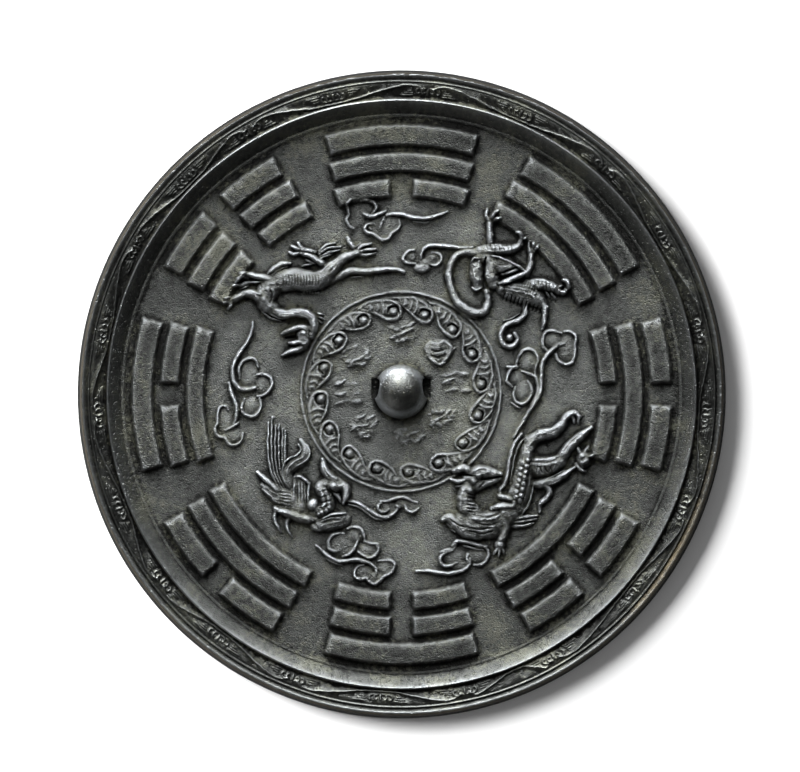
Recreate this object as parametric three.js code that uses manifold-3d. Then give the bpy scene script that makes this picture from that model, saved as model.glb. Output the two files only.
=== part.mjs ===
// A cast bronze mirror, lying on its flat reflecting face with the decorated back up.
// Units are millimetres, +Z is up, and the origin is the centre of the reflecting face.
// The back carries, from the middle outwards: the knob with its cord hole, eight groups of short strokes,
// sixteen petals inside a thin ring, four animals with clouds, the eight trigrams, and the raised rim.

import * as THREE from 'three';
import { mergeVertices } from 'three/addons/utils/BufferGeometryUtils.js';
import Module from 'manifold-3d';

const wasm = await Module();
wasm.setup();

// Disc and rim
const RIM_RADIUS = 110;
const RIM_HEIGHT = 8.4;
const FOOT_HEIGHT = 1.6;
const EDGE_TAPER = 1.3;
const OUTER_RIDGE_WIDTH = 2.4;
const VINE_BAND_WIDTH = 6.2;
const VINE_BAND_DEPTH = 0.6;
const INNER_RIDGE_WIDTH = 0.7;
const COVE_WIDTH = 4.9;
const COVE_KNEE = [0.4, 0.6];
const FIELD_THICKNESS = 3.4;
const DISC_SIDES = 60;

// Trigrams, listed clockwise from the top; each line is solid (1) or broken (0), from the rim inwards
const TRIGRAMS = [
  [1, 1, 0],
  [1, 1, 1],
  [0, 1, 0],
  [0, 0, 1],
  [1, 0, 0],
  [0, 1, 1],
  [1, 0, 1],
  [0, 0, 0],
];
const LINE_WIDTHS = [8.4, 7.6, 7.2];
const LINE_HALF_ANGLES = [17, 17.9, 18.9];
const LINE_HEIGHT = 1.9;
const LINE_GAP = 1.3;
const LINE_SLOPE = 0.8;
const LINE_BREAK = 6.4;
const BAR_STEP_ANGLE = 8.6;
const TRIGRAM_MARGIN = 2.2;

// The inner group was cast a little off the rim's centre
const CENTRE_SHIFT = new THREE.Vector2(-0.24, 0.9);

// Ring, petals and stroke groups
const RING_RADIUS = 33.8;
const RING_WIDTH = 1.9;
const RING_HEIGHT = 1;
const RING_CROWN = 0.4;
const RING_SIDES = 40;
const PETAL_COUNT = 16;
const PETAL_LENGTH = 11.4;
const PETAL_DEPTH = 5.4;
const PETAL_RIM_WIDTH = 1.2;
const PETAL_HEIGHT = 0.9;
const PETAL_RIM_TAPER = [0.7, 1, 0.8];
const PETAL_TAIL_DROP = 0.4;
const PETAL_CLEARANCE = 1.1;
const FIRST_PETAL_ANGLE = THREE.MathUtils.degToRad(3.9);
const BEAD_RADIUS = 1.2;
const BEAD_INSET = 1.3;
const BEAD_PLACE = 0.14;
const BEAD_SIDES = 5;
const GROUP_COUNT = 8;
const GROUP_RADIUS = 18;
const GROUP_WIDTH = 7.6;
const GROUP_ROW_STEP = 2.3;
const GROUP_ROW_LENGTHS = [0.85, 0.6, 0.85];
const GROUP_ROW_TILT = 0.2;
const GROUP_STROKE_WIDTH = 1.1;
const GROUP_STROKE_TAPER = 0.8;
const GROUP_STROKE_HEIGHT = 0.5;

// Knob and cord hole
const KNOB_RADIUS = 9.25;
const KNOB_HEIGHT = 9.4;
const KNOB_SIDES = 24;
const KNOB_RINGS = 5;
const CORD_HOLE_WIDTH = 6.6;
const CORD_HOLE_HEIGHT = 5.6;
const CORD_HOLE_SHIFT = 1.1;
const CORD_HOLE_STEPS = 6;

// The animals and clouds are drawn for a field of this radius and follow the field when it changes
const DRAWN_FIELD_RADIUS = 94.4;
const FIGURE_RELIEF = 1;

// Every raised form is rooted this deep in the field
const ROOT_DEPTH = 0.8;

// A stroke's section: how far the foot spreads and how wide the flat crown of a broad stroke is, as shares of
// its half width, and how much of its height is left at its ends
const BROAD_STROKE = 2.3;
const STROKE_FOOT = 1.2;
const STROKE_CROWN = 0.5;
const STROKE_END = 0.45;
const STROKE_END_SHARE = 0.08;
const TURN_PER_STEP = THREE.MathUtils.degToRad(60);
const TURN_SAMPLES = 24;

// A dome's section as shares of its radius and height; one over LOW_RELIEF has a shoulder ring
const LOW_RELIEF = 1.6;
const DOME_SIDES = 6;
const DOME_FOOT = 1.08;
const DOME_SHOULDER = [0.95, 0.45];
const HIGH_DOME_CROWN = 0.5;
const LOW_DOME_CROWN = 0.68;

const INNER_RIDGE_RADIUS = RIM_RADIUS - EDGE_TAPER - OUTER_RIDGE_WIDTH - VINE_BAND_WIDTH;
const COVE_RADIUS = INNER_RIDGE_RADIUS - INNER_RIDGE_WIDTH;
const FIELD_RADIUS = COVE_RADIUS - COVE_WIDTH;
const FIGURE_SCALE = FIELD_RADIUS / DRAWN_FIELD_RADIUS;

// Turns a closed geometry into a solid that can be joined and cut.
function solidOf(geometry) {
  const bare = geometry.index ? geometry.clone() : geometry;
  bare.deleteAttribute('normal');
  bare.deleteAttribute('uv');
  const merged = mergeVertices(bare, 1e-5);
  return new wasm.Manifold(new wasm.Mesh({
    numProp: 3,
    vertProperties: new Float32Array(merged.attributes.position.array),
    triVerts: new Uint32Array(merged.index.array),
  }));
}

// Closes a row of equal convex sections, each a list of points, into one body.
function loft(sections) {
  const count = sections[0].length;
  const triangles = [];
  for (let row = 0; row < sections.length - 1; row += 1) {
    for (let i = 0; i < count; i += 1) {
      const next = (i + 1) % count;
      const a = row * count + i;
      const b = row * count + next;
      triangles.push(a, b, a + count);
      triangles.push(b, b + count, a + count);
    }
  }
  const last = (sections.length - 1) * count;
  for (let i = 1; i < count - 1; i += 1) {
    triangles.push(0, i + 1, i);
    triangles.push(last, last + i, last + i + 1);
  }
  const geometry = new THREE.BufferGeometry();
  const corners = sections.flat().flatMap((point) => [point.x, point.y, point.z]);
  geometry.setAttribute('position', new THREE.Float32BufferAttribute(corners, 3));
  geometry.setIndex(triangles);
  return geometry;
}

// Reads a value from a short list that is spread evenly along a stroke.
function spread(values, share) {
  const place = share * (values.length - 1);
  const index = Math.min(Math.floor(place), values.length - 2);
  return THREE.MathUtils.lerp(values[index], values[index + 1], place - index);
}

// Gives a curve one step for each TURN_PER_STEP of turning, and enough steps for its changes of width.
function stepsAlong(curve, widths) {
  let turning = 0;
  for (let i = 0; i < TURN_SAMPLES; i += 1) {
    const here = curve.getTangentAt(i / TURN_SAMPLES);
    turning += here.angleTo(curve.getTangentAt((i + 1) / TURN_SAMPLES));
  }
  return Math.max(widths.length - 1, Math.round(turning / TURN_PER_STEP));
}

// A raised stroke along a curve in the field: tapered along, rooted below the surface, with a flat crown when
// it is broad and a plain ridge when it is narrow.
function stroke(path, widths, height) {
  const points = path.map(([x, y]) => new THREE.Vector3(x, y, 0));
  const curve = new THREE.CatmullRomCurve3(points, false, 'centripetal');
  const steps = stepsAlong(curve, widths);
  const broad = Math.max(...widths) > BROAD_STROKE;
  const foot = FIELD_THICKNESS - ROOT_DEPTH;
  const sections = [];
  for (let i = 0; i <= steps; i += 1) {
    const share = i / steps;
    const point = curve.getPointAt(share);
    const tangent = curve.getTangentAt(share);
    const half = spread(widths, share) / 2;
    const along = THREE.MathUtils.clamp(share, STROKE_END_SHARE, 1 - STROKE_END_SHARE);
    const top = FIELD_THICKNESS + height * Math.min(1, STROKE_END + Math.sin(Math.PI * along));
    const at = (side, z) => {
      const offset = side * half;
      return new THREE.Vector3(point.x - tangent.y * offset, point.y + tangent.x * offset, z);
    };
    const crown = broad ? [at(STROKE_CROWN, top), at(-STROKE_CROWN, top)] : [at(0, top)];
    sections.push([at(STROKE_FOOT, foot), ...crown, at(-STROKE_FOOT, foot)]);
  }
  return loft(sections);
}

// A dome on an oval plan, flat on top: the lobe of a cloud, a bead or a rounded part of a body.
function dome(x, y, radiusX, radiusY, height, sides = DOME_SIDES) {
  const foot = [DOME_FOOT, -ROOT_DEPTH];
  const [shoulderShare, shoulderRise] = DOME_SHOULDER;
  const rings = height > LOW_RELIEF
    ? [foot, [shoulderShare, height * shoulderRise], [HIGH_DOME_CROWN, height]]
    : [foot, [LOW_DOME_CROWN, height]];
  const sections = rings.map(([share, z]) => {
    const ring = [];
    for (let i = 0; i < sides; i += 1) {
      const angle = (i / sides) * Math.PI * 2;
      ring.push(new THREE.Vector3(
        x + Math.cos(angle) * radiusX * share,
        y + Math.sin(angle) * radiusY * share,
        FIELD_THICKNESS + z,
      ));
    }
    return ring;
  });
  return loft(sections);
}

// Turns a profile of [radius, height] points about the vertical axis.
function turned(profile, sides) {
  const geometry = new THREE.LatheGeometry(profile.map(([r, z]) => new THREE.Vector2(r, z)), sides);
  return geometry.rotateX(Math.PI / 2);
}

// The disc with its rim: flat face below, tapered edge, ridge, sunk vine band, thin ridge and cove above.
function discGeometry() {
  const floor = RIM_HEIGHT - VINE_BAND_DEPTH;
  const outerRidge = RIM_RADIUS - EDGE_TAPER;
  const bandOuter = outerRidge - OUTER_RIDGE_WIDTH;
  const wall = VINE_BAND_DEPTH / 2;
  const [coveAcross, coveUp] = COVE_KNEE;
  const profile = [
    [0, 0],
    [RIM_RADIUS, 0],
    [RIM_RADIUS, FOOT_HEIGHT],
    [outerRidge, RIM_HEIGHT],
    [bandOuter, RIM_HEIGHT],
    [bandOuter - wall, floor],
    [INNER_RIDGE_RADIUS + wall, floor],
    [INNER_RIDGE_RADIUS, RIM_HEIGHT],
    [COVE_RADIUS, RIM_HEIGHT - wall],
    [COVE_RADIUS - COVE_WIDTH * coveAcross, FIELD_THICKNESS + (RIM_HEIGHT - FIELD_THICKNESS) * coveUp],
    [FIELD_RADIUS, FIELD_THICKNESS],
    [0, FIELD_THICKNESS],
  ];
  return turned(profile, DISC_SIDES);
}

// One arc-shaped bar with sloping sides and ends, between two angles measured clockwise from the top.
function barGeometry(outer, width, from, to) {
  const steps = Math.max(1, Math.round((to - from) / BAR_STEP_ANGLE));
  const base = FIELD_THICKNESS - ROOT_DEPTH;
  const top = FIELD_THICKNESS + LINE_HEIGHT;
  const inner = outer - width;
  const spill = LINE_SLOPE * (1 + ROOT_DEPTH / LINE_HEIGHT);
  const endSlope = THREE.MathUtils.radToDeg(spill / inner);
  const sections = [];
  for (let i = 0; i <= steps; i += 1) {
    const share = i / steps;
    const low = THREE.MathUtils.lerp(from, to, share);
    const high = THREE.MathUtils.lerp(from + endSlope, to - endSlope, share);
    const at = (radius, angle, z) => new THREE.Vector3(
      radius * Math.sin(THREE.MathUtils.degToRad(angle)),
      radius * Math.cos(THREE.MathUtils.degToRad(angle)),
      z,
    );
    sections.push([
      at(outer, low, base),
      at(outer - spill, high, top),
      at(inner + spill, high, top),
      at(inner, low, base),
    ]);
  }
  return loft(sections);
}

// All lines of the eight trigrams.
function trigramGeometries() {
  const bars = [];
  TRIGRAMS.forEach((lines, place) => {
    const middle = (place * 360) / TRIGRAMS.length;
    let outer = FIELD_RADIUS - TRIGRAM_MARGIN;
    lines.forEach((solid, row) => {
      const half = LINE_HALF_ANGLES[row];
      const width = LINE_WIDTHS[row];
      if (solid) {
        bars.push(barGeometry(outer, width, middle - half, middle + half));
      } else {
        const halfBreak = THREE.MathUtils.radToDeg(LINE_BREAK / 2 / (outer - width / 2));
        bars.push(barGeometry(outer, width, middle - half, middle - halfBreak));
        bars.push(barGeometry(outer, width, middle + halfBreak, middle + half));
      }
      outer -= width + LINE_GAP;
    });
  });
  return bars;
}

// Moves a drawn point of the inner group to its place: radius outwards, angle anticlockwise from +X.
function innerPoint(radius, angle) {
  return [CENTRE_SHIFT.x + radius * Math.cos(angle), CENTRE_SHIFT.y + radius * Math.sin(angle)];
}

// The thin ring round the inner group.
function ringGeometry() {
  const half = RING_WIDTH / 2;
  const crown = half * RING_CROWN;
  const geometry = turned([
    [RING_RADIUS - half, FIELD_THICKNESS - ROOT_DEPTH],
    [RING_RADIUS + half, FIELD_THICKNESS - ROOT_DEPTH],
    [RING_RADIUS + crown, FIELD_THICKNESS + RING_HEIGHT],
    [RING_RADIUS - crown, FIELD_THICKNESS + RING_HEIGHT],
    [RING_RADIUS - half, FIELD_THICKNESS - ROOT_DEPTH],
  ], RING_SIDES);
  return geometry.translate(CENTRE_SHIFT.x, CENTRE_SHIFT.y, 0);
}

// The petals that follow the ring: a bowed rim with a bead under its clockwise end. Angles are shares of the
// petal's own length, from its head.
function petalGeometries() {
  const outer = RING_RADIUS - RING_WIDTH / 2 - PETAL_CLEARANCE;
  const inner = outer - PETAL_DEPTH;
  const turn = PETAL_LENGTH / (outer - PETAL_DEPTH / 2);
  const rimWidths = PETAL_RIM_TAPER.map((share) => share * PETAL_RIM_WIDTH);
  const petals = [];
  for (let i = 0; i < PETAL_COUNT; i += 1) {
    const head = FIRST_PETAL_ANGLE + (i * Math.PI * 2) / PETAL_COUNT;
    petals.push(stroke([
      innerPoint(outer - PETAL_DEPTH * PETAL_TAIL_DROP, head + turn * 0.7),
      innerPoint(outer - PETAL_RIM_WIDTH / 2, head + turn * 0.34),
      innerPoint(outer - PETAL_RIM_WIDTH, head - turn * 0.04),
      innerPoint(inner + PETAL_RIM_WIDTH, head - turn * 0.12),
    ], rimWidths, PETAL_HEIGHT));
    const [x, y] = innerPoint(inner + BEAD_RADIUS * BEAD_INSET, head + turn * BEAD_PLACE);
    petals.push(dome(x, y, BEAD_RADIUS, BEAD_RADIUS, PETAL_HEIGHT, BEAD_SIDES));
  }
  return petals;
}

// Eight groups of short strokes round the knob: rows only, in the place of an inscription.
function groupGeometries() {
  const groups = [];
  for (let i = 0; i < GROUP_COUNT; i += 1) {
    const angle = Math.PI / 2 - (i * Math.PI * 2) / GROUP_COUNT;
    const [centreX, centreY] = innerPoint(GROUP_RADIUS, angle);
    GROUP_ROW_LENGTHS.forEach((length, row) => {
      const y = centreY + (row - (GROUP_ROW_LENGTHS.length - 1) / 2) * GROUP_ROW_STEP;
      const side = (row + i) % 2 === 0 ? 1 : -1;
      const from = centreX - (side * GROUP_WIDTH) / 2;
      const to = from + side * GROUP_WIDTH * length;
      const rise = side * GROUP_ROW_STEP * GROUP_ROW_TILT;
      const widths = [GROUP_STROKE_WIDTH, GROUP_STROKE_WIDTH * GROUP_STROKE_TAPER];
      groups.push(stroke([[from, y - rise], [to, y + rise]], widths, GROUP_STROKE_HEIGHT));
    });
  }
  return groups;
}

// The domed knob with an arched hole for a cord, straight through it at the level of the field.
function knobSolid() {
  const profile = [[0, FIELD_THICKNESS - ROOT_DEPTH], [KNOB_RADIUS, FIELD_THICKNESS - ROOT_DEPTH]];
  for (let i = 0; i < KNOB_RINGS; i += 1) {
    const angle = (i / KNOB_RINGS) * (Math.PI / 2);
    profile.push([KNOB_RADIUS * Math.cos(angle), FIELD_THICKNESS + KNOB_HEIGHT * Math.sin(angle)]);
  }
  profile.push([0, FIELD_THICKNESS + KNOB_HEIGHT]);
  const knob = turned(profile, KNOB_SIDES).translate(CENTRE_SHIFT.x, CENTRE_SHIFT.y, 0);

  const half = CORD_HOLE_WIDTH / 2;
  const spring = CORD_HOLE_HEIGHT - half;
  const arch = new THREE.Shape();
  arch.moveTo(-half, -ROOT_DEPTH / 2);
  arch.lineTo(half, -ROOT_DEPTH / 2);
  arch.lineTo(half, spring);
  arch.absarc(0, spring, half, 0, Math.PI, false);
  arch.lineTo(-half, -ROOT_DEPTH / 2);
  const length = (KNOB_RADIUS + ROOT_DEPTH) * 2;
  const tunnel = new THREE.ExtrudeGeometry(arch, {
    depth: length,
    bevelEnabled: false,
    curveSegments: CORD_HOLE_STEPS,
  });
  tunnel.rotateX(Math.PI / 2);
  tunnel.rotateZ(Math.PI / 2);
  tunnel.translate(CENTRE_SHIFT.x - length / 2, CENTRE_SHIFT.y + CORD_HOLE_SHIFT, FIELD_THICKNESS);
  return solidOf(knob).subtract(solidOf(tunnel));
}

// The animals. Each stroke is [path, widths from start to end, height].
// Each dome is [x, y, radius across, radius up, height].
const TIGER = {
  strokes: [
    // torso, shoulder and chest
    [[[-44, 37], [-39, 38], [-33.5, 38.6], [-28.5, 38.4], [-25, 39.8]], [4.6, 6.8, 6.6, 5.2], 3.4],
    [[[-42.6, 37.8], [-45.4, 35], [-46.2, 31.5], [-44.9, 28.2]], [5.2, 4.6, 4], 3.2],
    // neck, arched back over the shoulder
    [[[-45.4, 29], [-42, 26.2], [-38, 26], [-34.6, 26.3], [-32.2, 24.6], [-32.1, 21.2]], [3.8, 3.8, 3.4, 3], 3.3],
    // upper jaw, lower jaw and beard
    [[[-34, 21.2], [-37, 21.5], [-40.4, 19.8]], [2.4, 1.7, 0.7], 2.7],
    [[[-33.8, 17.7], [-36.5, 17], [-38.4, 15.4]], [2.4, 1.9, 1], 2.5],
    [[[-34.8, 15.2], [-37.5, 13.8], [-40.5, 12.7]], [1.4, 1.1, 0.6], 1.4],
    // near foreleg and its claws
    [[[-45.6, 32.2], [-48.6, 32.4], [-51.6, 33.5], [-54.8, 32.6], [-57.5, 31.2]], [4, 2.8, 2.4, 2.4], 2.7],
    [[[-56.6, 32], [-59.8, 32.5]], [1.3, 0.6], 1.7],
    [[[-57, 30.9], [-60.4, 30.3]], [1.3, 0.6], 1.7],
    [[[-56.8, 30.4], [-59.4, 28.5]], [1.3, 0.6], 1.7],
    // far foreleg and its claws
    [[[-43.6, 37.8], [-47.5, 38], [-51, 38.7], [-54.6, 39.4]], [3.4, 2.4, 1.6], 2.4],
    [[[-52, 38.2], [-54.5, 37.6], [-57.8, 37.2]], [2, 2.4, 0.8], 2],
    [[[-54, 37], [-56.8, 35.4]], [1.6, 0.6], 1.6],
    // shoulder tuft
    [[[-44.2, 42.2], [-41, 43.4], [-38, 43.7]], [0.9, 1.9, 1.1], 1.9],
    // thigh, shank and the toes of the hind paw
    [[[-26.6, 38.9], [-24.2, 42.6], [-21.2, 45.8]], [5.2, 4.2, 3], 3.2],
    [[[-22.6, 45.2], [-18.6, 46.9], [-14.2, 48.4]], [3, 2.3, 1.8], 2.6],
    [[[-15.4, 48.6], [-13.2, 50.5], [-10.4, 51]], [1.2, 1.1, 0.6], 1.7],
    [[[-14.6, 48.2], [-12, 49], [-8.8, 49.2]], [1.3, 1.1, 0.6], 1.7],
    [[[-14.8, 47.6], [-12, 47.3], [-9, 47.9]], [1.2, 1, 0.5], 1.5],
    [[[-16, 49], [-17.4, 51.2], [-18.4, 53]], [1.2, 1.6, 1.2], 1.7],
    // second hind leg, raised over the back
    [[[-25, 43.4], [-27.6, 45.9], [-30.8, 48], [-35.4, 49.2]], [2.8, 2.8, 2.6, 1.4], 2.8],
    [[[-34.8, 49.2], [-35.1, 51]], [1.1, 0.6], 1.5],
    [[[-35, 48.7], [-37.6, 47.9]], [1.2, 0.6], 1.5],
    // flame tufts on the haunch
    [[[-28.4, 48.2], [-26.2, 50], [-23.4, 50.9]], [1.4, 1.2, 0.6], 1.8],
    [[[-28, 46.9], [-25, 48.6], [-21, 49.3]], [1.4, 1.2, 0.6], 1.8],
    // tail
    [[[-24.5, 38.5], [-21, 40.1], [-17.8, 41.8], [-12, 41.7], [-6, 42.4], [-1, 42.2], [0.8, 41.5]],
      [2.4, 2.1, 1.9, 1], 2.1],
  ],
  domes: [
    [-33.6, 19.6, 2.4, 3.5, 3.6],
  ],
};

const TORTOISE = {
  strokes: [
    // the snake's loop and its neck
    [[[26.6, 47.8], [23, 48.2], [19.4, 47.2], [16.8, 44.2], [15.9, 40.4], [16.3, 36.4], [17.8, 33], [20.6, 30.2],
      [24, 28.4], [27.2, 28.7], [28.6, 31.4], [28.8, 35]], [2.4, 2.2, 2.2, 2.2, 2.4, 2.2, 1.6], 2.3],
    [[[27.2, 46.8], [25.3, 44.6], [24.9, 41], [24.2, 38], [25.3, 36]], [2.4, 2, 1.9, 1.7], 2.3],
    // the tortoise's neck
    [[[31.6, 46], [28.9, 43.6], [28.6, 40], [30.6, 37.2]], [4, 4.6, 4.4, 3.4], 3.1],
    // shell, with its upper and lower edge
    [[[32.4, 43.4], [35.8, 42.2], [40, 41.6]], [6.6, 5.2, 2], 2.9],
    [[[31, 47.4], [35, 45.6], [38.6, 43.6], [42.2, 41.2]], [2.2, 2, 1.8], 3.2],
    [[[33.8, 37.6], [37.2, 39.3], [41, 41.3]], [1.6, 2, 1.6], 3.3],
    // back and the leg that reaches right
    [[[27.4, 48.2], [31, 48.9], [35, 49.3], [39.2, 50.1]], [2.4, 3, 2.8, 2], 3],
    [[[38.8, 49.8], [40.2, 51.6], [40.2, 55]], [2, 1.6, 0.8], 2.1],
    [[[40, 51.6], [42.2, 52.4]], [1.2, 0.6], 1.5],
    [[[40, 53.4], [41.6, 54.3]], [1.1, 0.6], 1.5],
    // the leg that reaches up
    [[[30.6, 50], [30.1, 54], [30.4, 57], [30.3, 59.6]], [2.2, 1.7, 1.6], 2.2],
    [[[30.2, 59], [29.2, 61], [29.8, 63]], [1.3, 1.1, 0.6], 1.7],
    [[[30.4, 59.2], [31.2, 60.6], [32.7, 61.9]], [1.5, 1.3, 0.7], 1.9],
    [[[30.8, 59], [33.8, 60]], [1.2, 0.6], 1.5],
    // the leg behind the shell
    [[[42.2, 41], [43.5, 43.5], [43.9, 46], [43.8, 48.4]], [1.8, 1.5, 1.4], 2],
    [[[43.6, 48.2], [42.6, 51.1]], [1.2, 0.6], 1.6],
    [[[43.9, 48.6], [44.2, 51.1]], [1.1, 0.6], 1.6],
    [[[44.2, 48.2], [45.6, 50.1]], [1.1, 0.6], 1.6],
    // the lower leg and its claws
    [[[42, 38.8], [45, 37.9], [48, 37.2], [50.2, 35.8], [51.6, 34.7]], [3.2, 2.9, 2.4, 1.8], 2.7],
    [[[50.8, 35], [52.8, 33.6], [54.8, 34.2], [55.6, 36]], [1.5, 1.2, 0.6], 1.8],
    [[[51.2, 36.2], [53.5, 36.4], [54, 38.7]], [1.4, 1.3, 0.6], 1.7],
    // belly, flank and hind leg
    [[[33.2, 35], [37.5, 33.2], [41.5, 31.7], [45, 30], [46.6, 27.2]], [2.4, 3.6, 3.8, 3.2, 2], 2.7],
    [[[35.6, 36.4], [39.8, 37.2], [43, 38.2]], [2, 3, 3.2], 2.4],
    [[[47.2, 32], [48, 28.5], [47.6, 25], [46.9, 21.4]], [2, 1.7, 0.9], 1.8],
    // curled tail
    [[[41.8, 30.4], [41.3, 27.3], [39, 25.2], [36, 24.4], [34, 22.3], [33.5, 19.3], [34.6, 16.8], [37, 16.7],
      [38.6, 18.7], [37.8, 20.8]], [1.7, 1.7, 1.6, 1.6, 1.4, 1.2], 1.8],
  ],
  domes: [],
};

const DRAGON = {
  strokes: [
    // jaws, mane and horns
    [[[25, -26.3], [22.3, -25.2], [19.6, -25.3]], [2.8, 2, 1.2], 2.7],
    [[[24.6, -28.6], [21, -29], [17.5, -28.2]], [2.2, 1.6, 0.8], 2.2],
    [[[28, -27], [31, -26.9], [34.2, -26.9]], [3.4, 2.6, 1], 2.9],
    [[[28, -30.6], [31, -29.3], [34.2, -28.2]], [1.2, 1.2, 0.8], 1.8],
    [[[33.7, -33.4], [34.4, -30.4], [35.7, -27.3], [36.3, -24], [37.2, -20.5], [38.9, -17], [40.5, -13.8]],
      [1.7, 1.5, 1.4, 1.2], 1.8],
    // neck, chest and coiled body
    [[[25.6, -28.8], [23.6, -31.5], [22.6, -35], [23, -38.6], [26, -41.6]], [3.6, 4, 4.2, 5], 3.1],
    [[[23.6, -43.2], [28, -43.8], [32.4, -43.4], [36.4, -40.6], [39.4, -36.6]], [6, 7.6, 7.4, 6], 3.4],
    [[[38.6, -38], [40.8, -33.4], [41.3, -28], [41, -23.4], [41.8, -19], [44.2, -15.6]], [6, 5.8, 5.6, 4.6, 3.2], 3.5],
    [[[31, -38], [35, -37.8], [38.8, -38]], [1.4, 2.2, 1.6], 3.6],
    [[[33.6, -34.4], [36, -34.7], [38.2, -35.8]], [1.2, 1.6, 1.2], 2.4],
    // upper leg, reaching to the right with two claws
    [[[43.2, -16], [47, -14], [51, -13], [54, -10.6], [55.6, -7.8], [57.6, -6.4], [60, -6.8]],
      [3.4, 3.2, 2.8, 2.2, 1.4], 3],
    [[[58, -6.6], [58.9, -9.8]], [1.3, 0.6], 1.7],
    [[[59.6, -6.6], [60.2, -9]], [1.2, 0.6], 1.6],
    // hind leg, its shank and its paw
    [[[43, -22.7], [47, -22], [51, -21.7], [54.4, -21]], [3.8, 3.2, 3, 2.6], 3.1],
    [[[54, -21.4], [56.3, -18], [59, -14.8], [62, -12.6], [64.6, -11.3]], [2.8, 2.9, 2.6, 1], 2.7],
    [[[58.6, -17.8], [61, -18.7], [64, -19.4]], [1.4, 1.8, 0.9], 2.6],
    [[[60.4, -18.2], [62.9, -17.1]], [1.3, 0.6], 1.7],
    [[[61.4, -23.6], [59.8, -23.4]], [1.4, 0.6], 1.6],
    // flame on the elbow and the foreleg below it
    [[[44.4, -29.9], [48, -29.2], [52, -28], [55.5, -26.6], [58.6, -24.4]], [2.6, 2.4, 2, 0.8], 2.4],
    [[[44.4, -31.2], [47.5, -31.2], [49.7, -32.8], [49.7, -35], [47.9, -36.7], [46.7, -39.7]],
      [2.6, 2.3, 2, 1], 2.3],
    // tuft behind the hind leg
    [[[37, -41.6], [41, -41.2], [45, -41]], [1.8, 1.6, 0.7], 2],
    [[[36.8, -43], [41, -42.9], [45, -42.2]], [1.6, 1.3, 0.6], 1.8],
    // low foreleg with its paw on the left
    [[[24.6, -45.4], [21.2, -45], [18.8, -43.2], [16.8, -41.5], [13.8, -42.3]], [3, 2.8, 2.4, 2.2, 1.2], 2.5],
    [[[16.6, -43.6], [18.6, -45.6], [22, -47.2], [24.6, -48.4]], [1.2, 1.6, 1.4, 0.7], 1.8],
    // standing leg with three claws
    [[[35.6, -42.4], [35.1, -46], [33.9, -48.8], [32.7, -51]], [3.4, 2.8, 2.2, 2], 2.6],
    [[[32.6, -51], [31.7, -53], [31, -55.2]], [1.3, 1.1, 0.6], 1.7],
    [[[33, -51.2], [32.9, -55]], [1.2, 0.6], 1.6],
    [[[33.4, -51], [35.3, -54]], [1.2, 0.6], 1.6],
  ],
  domes: [
    [26.6, -27.4, 3.6, 2.3, 3.5],
    [62.8, -22, 2.1, 2.9, 2.2],
  ],
};

const PHOENIX = {
  strokes: [
    // curled plume, raised crest and left wing
    [[[-34.2, -15.6], [-32.7, -18.6], [-33.3, -21.7], [-36.4, -23.5], [-38.8, -26], [-38.5, -29.5], [-37, -32.6]],
      [1.4, 3.2, 4, 3.8, 3.6, 3], 2.2],
    [[[-26.9, -21.8], [-26.1, -25.3], [-24.5, -28], [-22.4, -30.2]], [1.2, 2, 2.2, 1.4], 2],
    [[[-25.6, -25.2], [-23, -27.3], [-20.7, -30]], [1, 1.5, 1.1], 1.9],
    [[[-48.9, -26.4], [-45, -30], [-41, -33.4]], [1.2, 2, 2.2], 2.4],
    [[[-47.4, -30.6], [-44, -33.4], [-40.6, -35.8]], [1.4, 4, 5], 2],
    // right wing and belly
    [[[-35.6, -26.6], [-33.6, -28.4], [-31.8, -30.4]], [1.4, 2.4, 2], 2.7],
    [[[-34.4, -28.6], [-34.2, -32], [-34.4, -36]], [3.4, 5, 5], 2.5],
    [[[-42.8, -38.9], [-38.8, -39.8], [-34.8, -41.5], [-31.6, -42.1]], [1.4, 2.8, 3, 1.8], 2.6],
    // neck, beak and the wattle that hangs from it
    [[[-28.6, -37.6], [-27.2, -35.8], [-28.2, -33.4], [-28.2, -31.3], [-25.8, -30.3]], [3.2, 2.8, 2.4, 2.4], 2.8],
    [[[-24, -31], [-21, -30.3], [-19.1, -31.4], [-18.9, -34], [-19.8, -36.8]], [2, 2, 2, 1.8, 0.8], 2.3],
    // fanned wing and the foot under it
    [[[-29.8, -44.2], [-25.4, -42.8], [-19, -41.4]], [2.2, 4.4, 3.6], 2.5],
    [[[-30.4, -44.6], [-29, -45.7], [-26.8, -46.2]], [1.2, 1.5, 0.8], 1.7],
    // legs
    [[[-42.2, -38.4], [-43.2, -41], [-42.5, -44], [-41, -46.6]], [1.3, 1.2, 0.7], 1.3],
    [[[-37.8, -41.6], [-39, -43.8], [-38.6, -46], [-37.2, -48.2]], [1.5, 1.3, 0.7], 1.4],
  ],
  domes: [
    [-37, -36.6, 4.6, 4.4, 2.9],
    [-30, -37.8, 2.3, 2.3, 3.5],
    [-24.6, -32.2, 2.8, 1.9, 2.7],
  ],
};

// The long tail feathers lie side by side and swing into the phoenix's back.
const TAIL_FEATHER_TOPS = [-9.5, -7.6, -10.5, -10.2, -11.8];
const TAIL_FEATHER_LEFT = -45.2;
const TAIL_FEATHER_STEP = 1.25;
const TAIL_FEATHER_WIDTHS = [0.8, 1.2, 1.2, 1.1];
const TAIL_FEATHER_HEIGHT = 1.6;

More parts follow.
